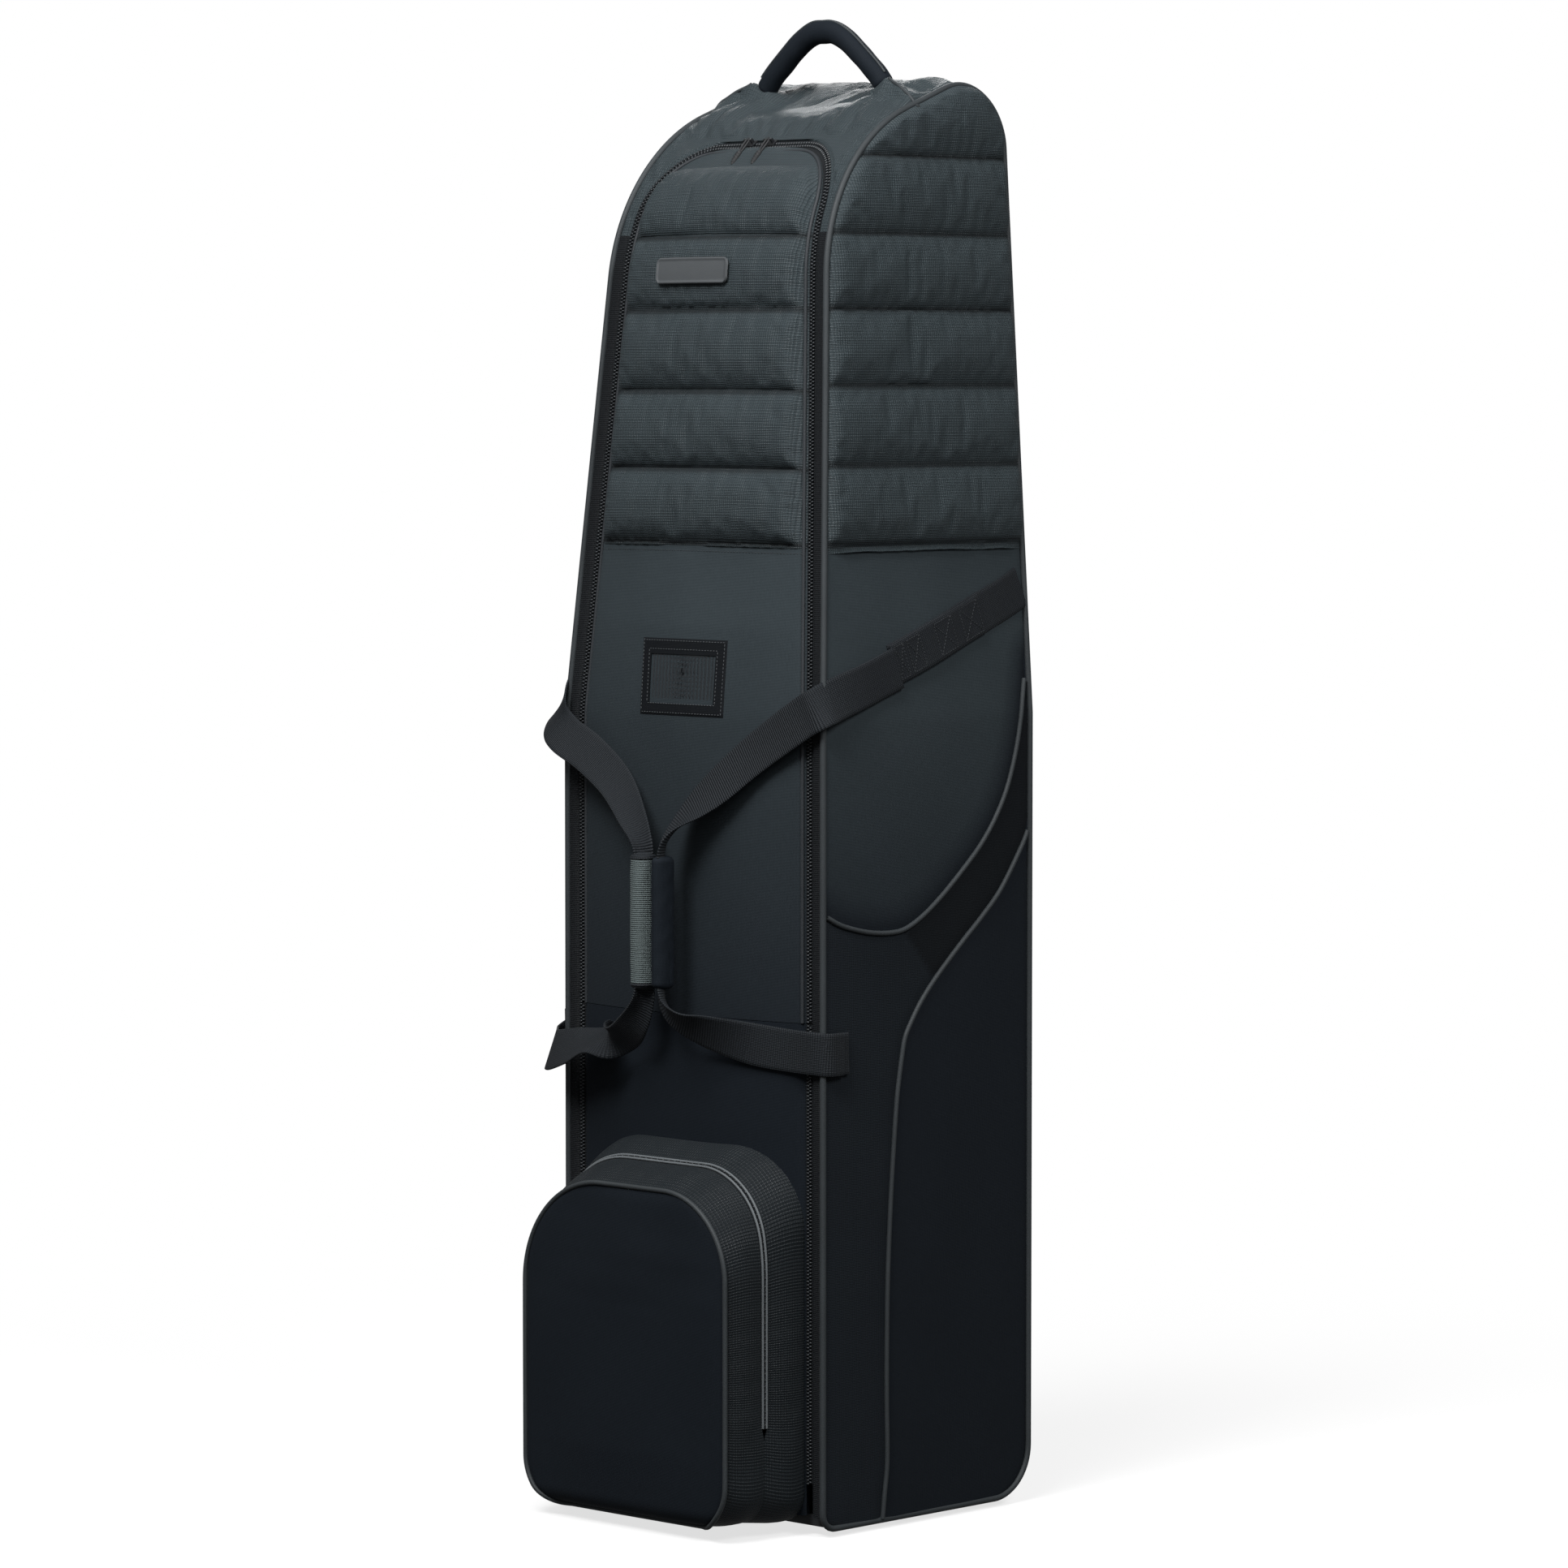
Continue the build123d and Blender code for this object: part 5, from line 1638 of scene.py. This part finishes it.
left_lower_normals = [(0.9, -0.5, 0), (0.8, -0.8, -0.2), (0.5, -1, -0.4), (0.3, -0.8, -0.8),
                      (0.05, -0.6, 0.9), (-0.1, -0.9, 0.6), (-0.3, -1, 0.3), (-0.95, -0.4, 0.2),
                      (-1, 0.1, 0.05), (-1, 0, 0)]
left_lower_widths = [16, 20, 28, 34, 37, 38, 38, 38, 38, 38]
for side, sign, upper, lower in (
        ("left", -1, (left_upper, left_normals, left_widths),
         (left_lower, left_lower_normals, left_lower_widths)),
        ("right", 1, (right_upper, right_normals, right_widths),
         (right_lower, right_lower_normals, right_lower_widths))):
    web, _, _, _ = band(f"{side}_upper_webbing", *upper, 130)
    settle(web, web_cloth, None, [f"{side}_strap_upper_web"])
    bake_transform(web)
    web, _, _, _ = band(f"{side}_lower_webbing", *lower, 110)
    settle(web, web_cloth, None, [f"{side}_strap_lower_web"])
    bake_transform(web)


def sleeve(name, line, side_axis, radii, around=30, count=90):
    """A padded tube along a line; radii(share, angle) is its radius in mm."""
    p = np.asarray(line, float)
    s = np.concatenate([[0], np.cumsum(np.linalg.norm(np.diff(p, axis=0), axis=1))])
    share = s / s[-1]
    tangent = np.gradient(p, axis=0)
    tangent = tangent / np.linalg.norm(tangent, axis=1)[:, None]
    side = np.array(side_axis, float)
    up = np.cross(tangent, side)
    up = up / np.linalg.norm(up, axis=1)[:, None]

    def at(v, table):
        return np.stack([np.interp(v, share, table[:, k]) for k in range(3)], 1)

    def place(u, v):
        angle = 2 * math.pi * u
        end = np.minimum(v, 1 - v) * s[-1]
        close = fold_in(end, 6)
        r = radii(v, angle) * close
        q = at(v, p) + side * (r * np.cos(angle))[:, None] \
            + at(v, up) * (r * np.sin(angle))[:, None]
        return tuple(q.T)

    def weave(u, v):
        return u * 66, v * s[-1]

    made = sheet_of(name, around, count, place, weave, (0, 0, 0))
    edit(made, lambda: bpy.ops.mesh.remove_doubles(threshold=0.00002),
         lambda: bpy.ops.mesh.normals_make_consistent(inside=False))
    smooth(made, 70)
    return made


def grip_line(x, low, high):
    z = np.linspace(low, high, 60)
    return np.stack([np.full(60, x), np.full(60, GRIP_Y), z], 1)


left_grip = sleeve("left_grip_cover", grip_line(-GRIP_X, 478, 602), (1, 0, 0),
                   lambda v, a: 11.4 + 0.5 * np.sin(v * math.pi) + 0.25 * ripple(v * 120, a * 12,
                                                                                14, 51))
settle(left_grip, grip_cloth, "left_strap", ["left_grip"])
caps = []
for z in (478, 591):
    caps.append(sleeve("cap", grip_line(-GRIP_X, z, z + 11), (1, 0, 0),
                       lambda v, a: np.full_like(v, 12.1), 30, 24))
caps = joined("left_grip_caps", caps)
settle(caps, web_cloth, "left_strap")
right_grip = sleeve("right_grip_cover", grip_line(GRIP_X - 0.5, 480, 600), (1, 0, 0),
                    lambda v, a: 10.4 * (1 - 0.35 * np.cos(a) ** 2)
                    + 3.2 * np.clip(-np.sin(a), 0, 1) ** 6
                    + 0.35 * ripple(v * 120, a * 14, 17, 52))
settle(right_grip, plain_cloth, "right_strap", ["right_grip"])
grip_runs = []
for dx in (-2.6, 3.4):
    z = np.linspace(489, 591, 30)
    run = np.stack([np.full(30, GRIP_X + dx), np.full(30, GRIP_Y - 11.2 + abs(dx) * 0.35), z], 1)
    grip_runs += along_frames(run, np.tile((0, -1, 0), (30, 1)), 5.0)
settle(strewn("right_grip_stitches", stitch_piece(), grip_runs), pale_thread, "right_strap")


# ---- Pulls ----

def cord_pull(node, hang):
    """A cord loop through the slider's bar, with a ribbed end moulded over its tails."""
    low, high = (np.array(corner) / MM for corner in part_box(node))
    eye, tip = np.where(hang, high - 2.6, (low + high) / 2), np.where(hang, low + 2.0,
                                                                     (low + high) / 2)
    run = (tip - eye) / np.linalg.norm(tip - eye)
    side = np.array((1.0, 0, 0)) if hang[1] else np.array((0, 1.0, 0))
    loop = []
    for at, off in ((17, 0.9), (12, 1.5), (6, 2.0), (1, 1.8), (-1.6, 0.0), (1, -1.8), (6, -2.0),
                    (12, -1.5), (17, -0.9)):
        loop.append(eye + run * at + side * off)
    cord = tube(f"{node}_cord", curved(loop, 60), 0.95)
    grip = sleeve("end", np.linspace(eye + run * 13, tip, 40), side,
                  lambda v, a: (2.5 - 0.5 * v) * (1 + 0.25 * np.cos(a) ** 2)
                  + 0.28 * np.sin(v * 40), 18, 60)
    whole = joined(f"{node}_tab", [cord, grip])
    settle(whole, pull_cord, node, [node])


cord_pull("left_pull", (False, True, True))
cord_pull("right_pull", (False, True, True))
cord_pull("pocket_pull", (False, False, True))


# ---- Top handle ----

half_leg = [(-76, 1282), (-63, 1296), (-46, 1311), (-30, 1324), (-13, 1333), (0, 1334)]
legs = half_leg + [(-x, z) for x, z in half_leg[-2::-1]]
handle_line = curved([(x, HANDLE_Y, z) for x, z in legs], 120)
handle = sleeve("handle_cover", handle_line, (0, 1, 0),
                lambda v, a: 9.6 + 1.1 * np.exp(-((v - 0.5) / 0.16) ** 2) * np.sin(a) ** 2
                + 0.3 * ripple(v * 190, a * 10, 22, 53), 34, 120)
settle(handle, plain_cloth, "top_handle",
       ["handle_sleeve", "handle_core"])
seam = handle_line.copy()
tangent = np.gradient(seam, axis=0)
tangent = tangent / np.linalg.norm(tangent, axis=1)[:, None]
outward = np.cross(tangent, (0, 1, 0))
outward = outward * np.sign(outward[60, 2])
seam = seam + outward * 9.9 + np.array((0, -3.2, 0))
handle_seam = tube("handle_seam", seam[6:-6], 1.1)
settle(handle_seam, piping_cloth, "top_handle")
ridges = []
for sign in (-1, 1):
    x = np.linspace(86, 131, 24)
    y = 77 - (x - 86) / 45 * 17
    s = np.interp(y, body.a[:body.top + 1][body.b[:body.top + 1] > 1100],
                  body.s[:body.top + 1][body.b[:body.top + 1] > 1100])
    ridges.append(tube("ridge", np.stack(skin(sign * x, s, top_lift(x, s) + 0.3), 1), 1.5))
ridge_cord = joined("handle_ridge_cords", ridges)
settle(ridge_cord, piping_cloth, "shell")


# ---- Inside straps ----

CINCH_WIDTH, CINCH_PAD = 37.5, 0.5
CINCH_LEVELS = 520.0, 900.0


def flat_web(name, node, levels=None):
    """Straight webbing along a CAD node's box, at its middle or at the heights given."""
    a, b = (np.array(c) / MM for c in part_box(node))
    y = (a[1] + b[1]) / 2
    parts = []
    for z in levels or ((a[2] + b[2]) / 2,):
        points = [(x, y, z) for x in np.linspace(a[0] + CINCH_PAD, b[0] - CINCH_PAD, 4)]
        parts.append(band(name, points, [(0, -1, 0)] * 4, [CINCH_WIDTH] * 4, 40)[0])
    return joined(name, parts) if len(parts) > 1 else parts[0]


for name in ("lower", "upper"):
    web = flat_web(f"{name}_cinch_strap", f"{name}_cinch_web")
    settle(web, web_cloth, None, [f"{name}_cinch_web"])
    low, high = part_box(f"{name}_cinch_web")
    level = ((low.y + high.y) / 2, (low.z + high.z) / 2)
    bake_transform(web)
fixed = flat_web("cinch_straps", "cinch_webs", CINCH_LEVELS)
settle(fixed, web_cloth, "shell", ["cinch_webs"])


# ---- Moulded and metal parts ----

node_finishes = {
    plastic: ["base_tray", "kick_plate", "left_wheel_housing", "right_wheel_housing"],
    rail_plastic: ["skid_rails"],
    buckle_plastic: ["cinch_sockets", "lower_cinch_prong", "upper_cinch_prong"],
    zip_metal: ["left_slider", "right_slider", "pocket_slider"],
    foot_rubber: ["front_feet"],
    rubber: ["left_tyre", "right_tyre"],
    hub_plastic: ["left_hub", "right_hub"],
    steel: ["wheel_axles", "left_bearings", "right_bearings", "rail_screws", "foot_screws"],
}
for finish, names in node_finishes.items():
    for name in names:
        data = nodes[name].data
        data.materials.clear()
        data.materials.append(finish)


# ---- Stage, light and camera ----

clear()
bpy.ops.mesh.primitive_plane_add(size=60)
floor = bpy.context.object
floor.name = "floor"
pale = Finish("pale_floor", 0.9)
pale.shader.inputs["Base Color"].default_value = (0.9, 0.9, 0.9, 1)
glow = pale.tree.nodes.new("ShaderNodeEmission")
far = pale.node("VectorMath", {"operation": "LENGTH"}, {0: pale.place()}, 1)
FADE_NEAR, FADE_FAR, GLOW_NEAR, GLOW_FAR = 0.4, 1.6, 0.72, 1.0
fade = pale.node("MapRange", {"interpolation_type": "SMOOTHSTEP"},
                 {"Value": far, 1: FADE_NEAR, 2: FADE_FAR, 3: GLOW_NEAR, 4: GLOW_FAR})
blend = pale.tree.nodes.new("ShaderNodeMixShader")
pale.tree.links.new(fade.socket, blend.inputs[0])
pale.tree.links.new(pale.shader.outputs[0], blend.inputs[1])
pale.tree.links.new(glow.outputs[0], blend.inputs[2])
pale.tree.links.new(blend.outputs[0], pale.tree.nodes["Material Output"].inputs["Surface"])
floor.data.materials.append(pale.material)
floor.visible_diffuse = False
floor.visible_glossy = False

bpy.context.scene.view_settings.view_transform = "Standard"
world = bpy.data.worlds.new("studio")
bpy.context.scene.world = world
world.use_nodes = True
sky = world.node_tree.nodes["Background"]
sky.inputs["Color"].default_value = (1, 1, 1, 1)
seen = world.node_tree.nodes.new("ShaderNodeLightPath")
level = world.node_tree.nodes.new("ShaderNodeMapRange")
ROOM_LIGHT, BACKDROP_LIGHT = 0.16, 1.0
level.inputs["To Min"].default_value = ROOM_LIGHT
level.inputs["To Max"].default_value = BACKDROP_LIGHT
world.node_tree.links.new(seen.outputs["Is Camera Ray"], level.inputs["Value"])
world.node_tree.links.new(level.outputs["Result"], sky.inputs["Strength"])


def softbox(name, place, target, size, power):
    light = bpy.data.lights.new(name, "AREA")
    light.shape = "RECTANGLE"
    light.size, light.size_y = size
    light.energy = power
    lamp = bpy.data.objects.new(name, light)
    bpy.context.collection.objects.link(lamp)
    lamp.location = place
    lamp.rotation_euler = (Vector(target) - Vector(place)).to_track_quat("-Z", "Y").to_euler()


softbox("overhead", (0.5, -2.0, 3.5), (0, 0, 0.6), (1.8, 1.8), 120)
softbox("key", (0.5, -2.5, 3.1), (0, 0, 0.9), (1.1, 1.1), 66)
softbox("side", (2.8, -0.5, 2.7), (0, 0, 0.8), (1.1, 1.1), 78)
softbox("back", (-2.2, 2.6, 2.8), (0, 0, 0.8), (1.4, 1.4), 60)

AZIMUTH, ELEVATION, DISTANCE = math.radians(44), math.radians(3.7), 5.8
target = Vector((0.013, 0.010, 0.656))
camera = bpy.data.cameras.new("camera")
camera.lens, camera.sensor_width = 147.5, 36.0
camera.clip_end = 200
view = bpy.data.objects.new("camera", camera)
bpy.context.collection.objects.link(view)
back = Vector((math.sin(AZIMUTH) * math.cos(ELEVATION), -math.cos(AZIMUTH) * math.cos(ELEVATION),
               math.sin(ELEVATION)))
view.location = target + back * DISTANCE
view.rotation_euler = (-back).to_track_quat("-Z", "Y").to_euler()
bpy.context.scene.camera = view
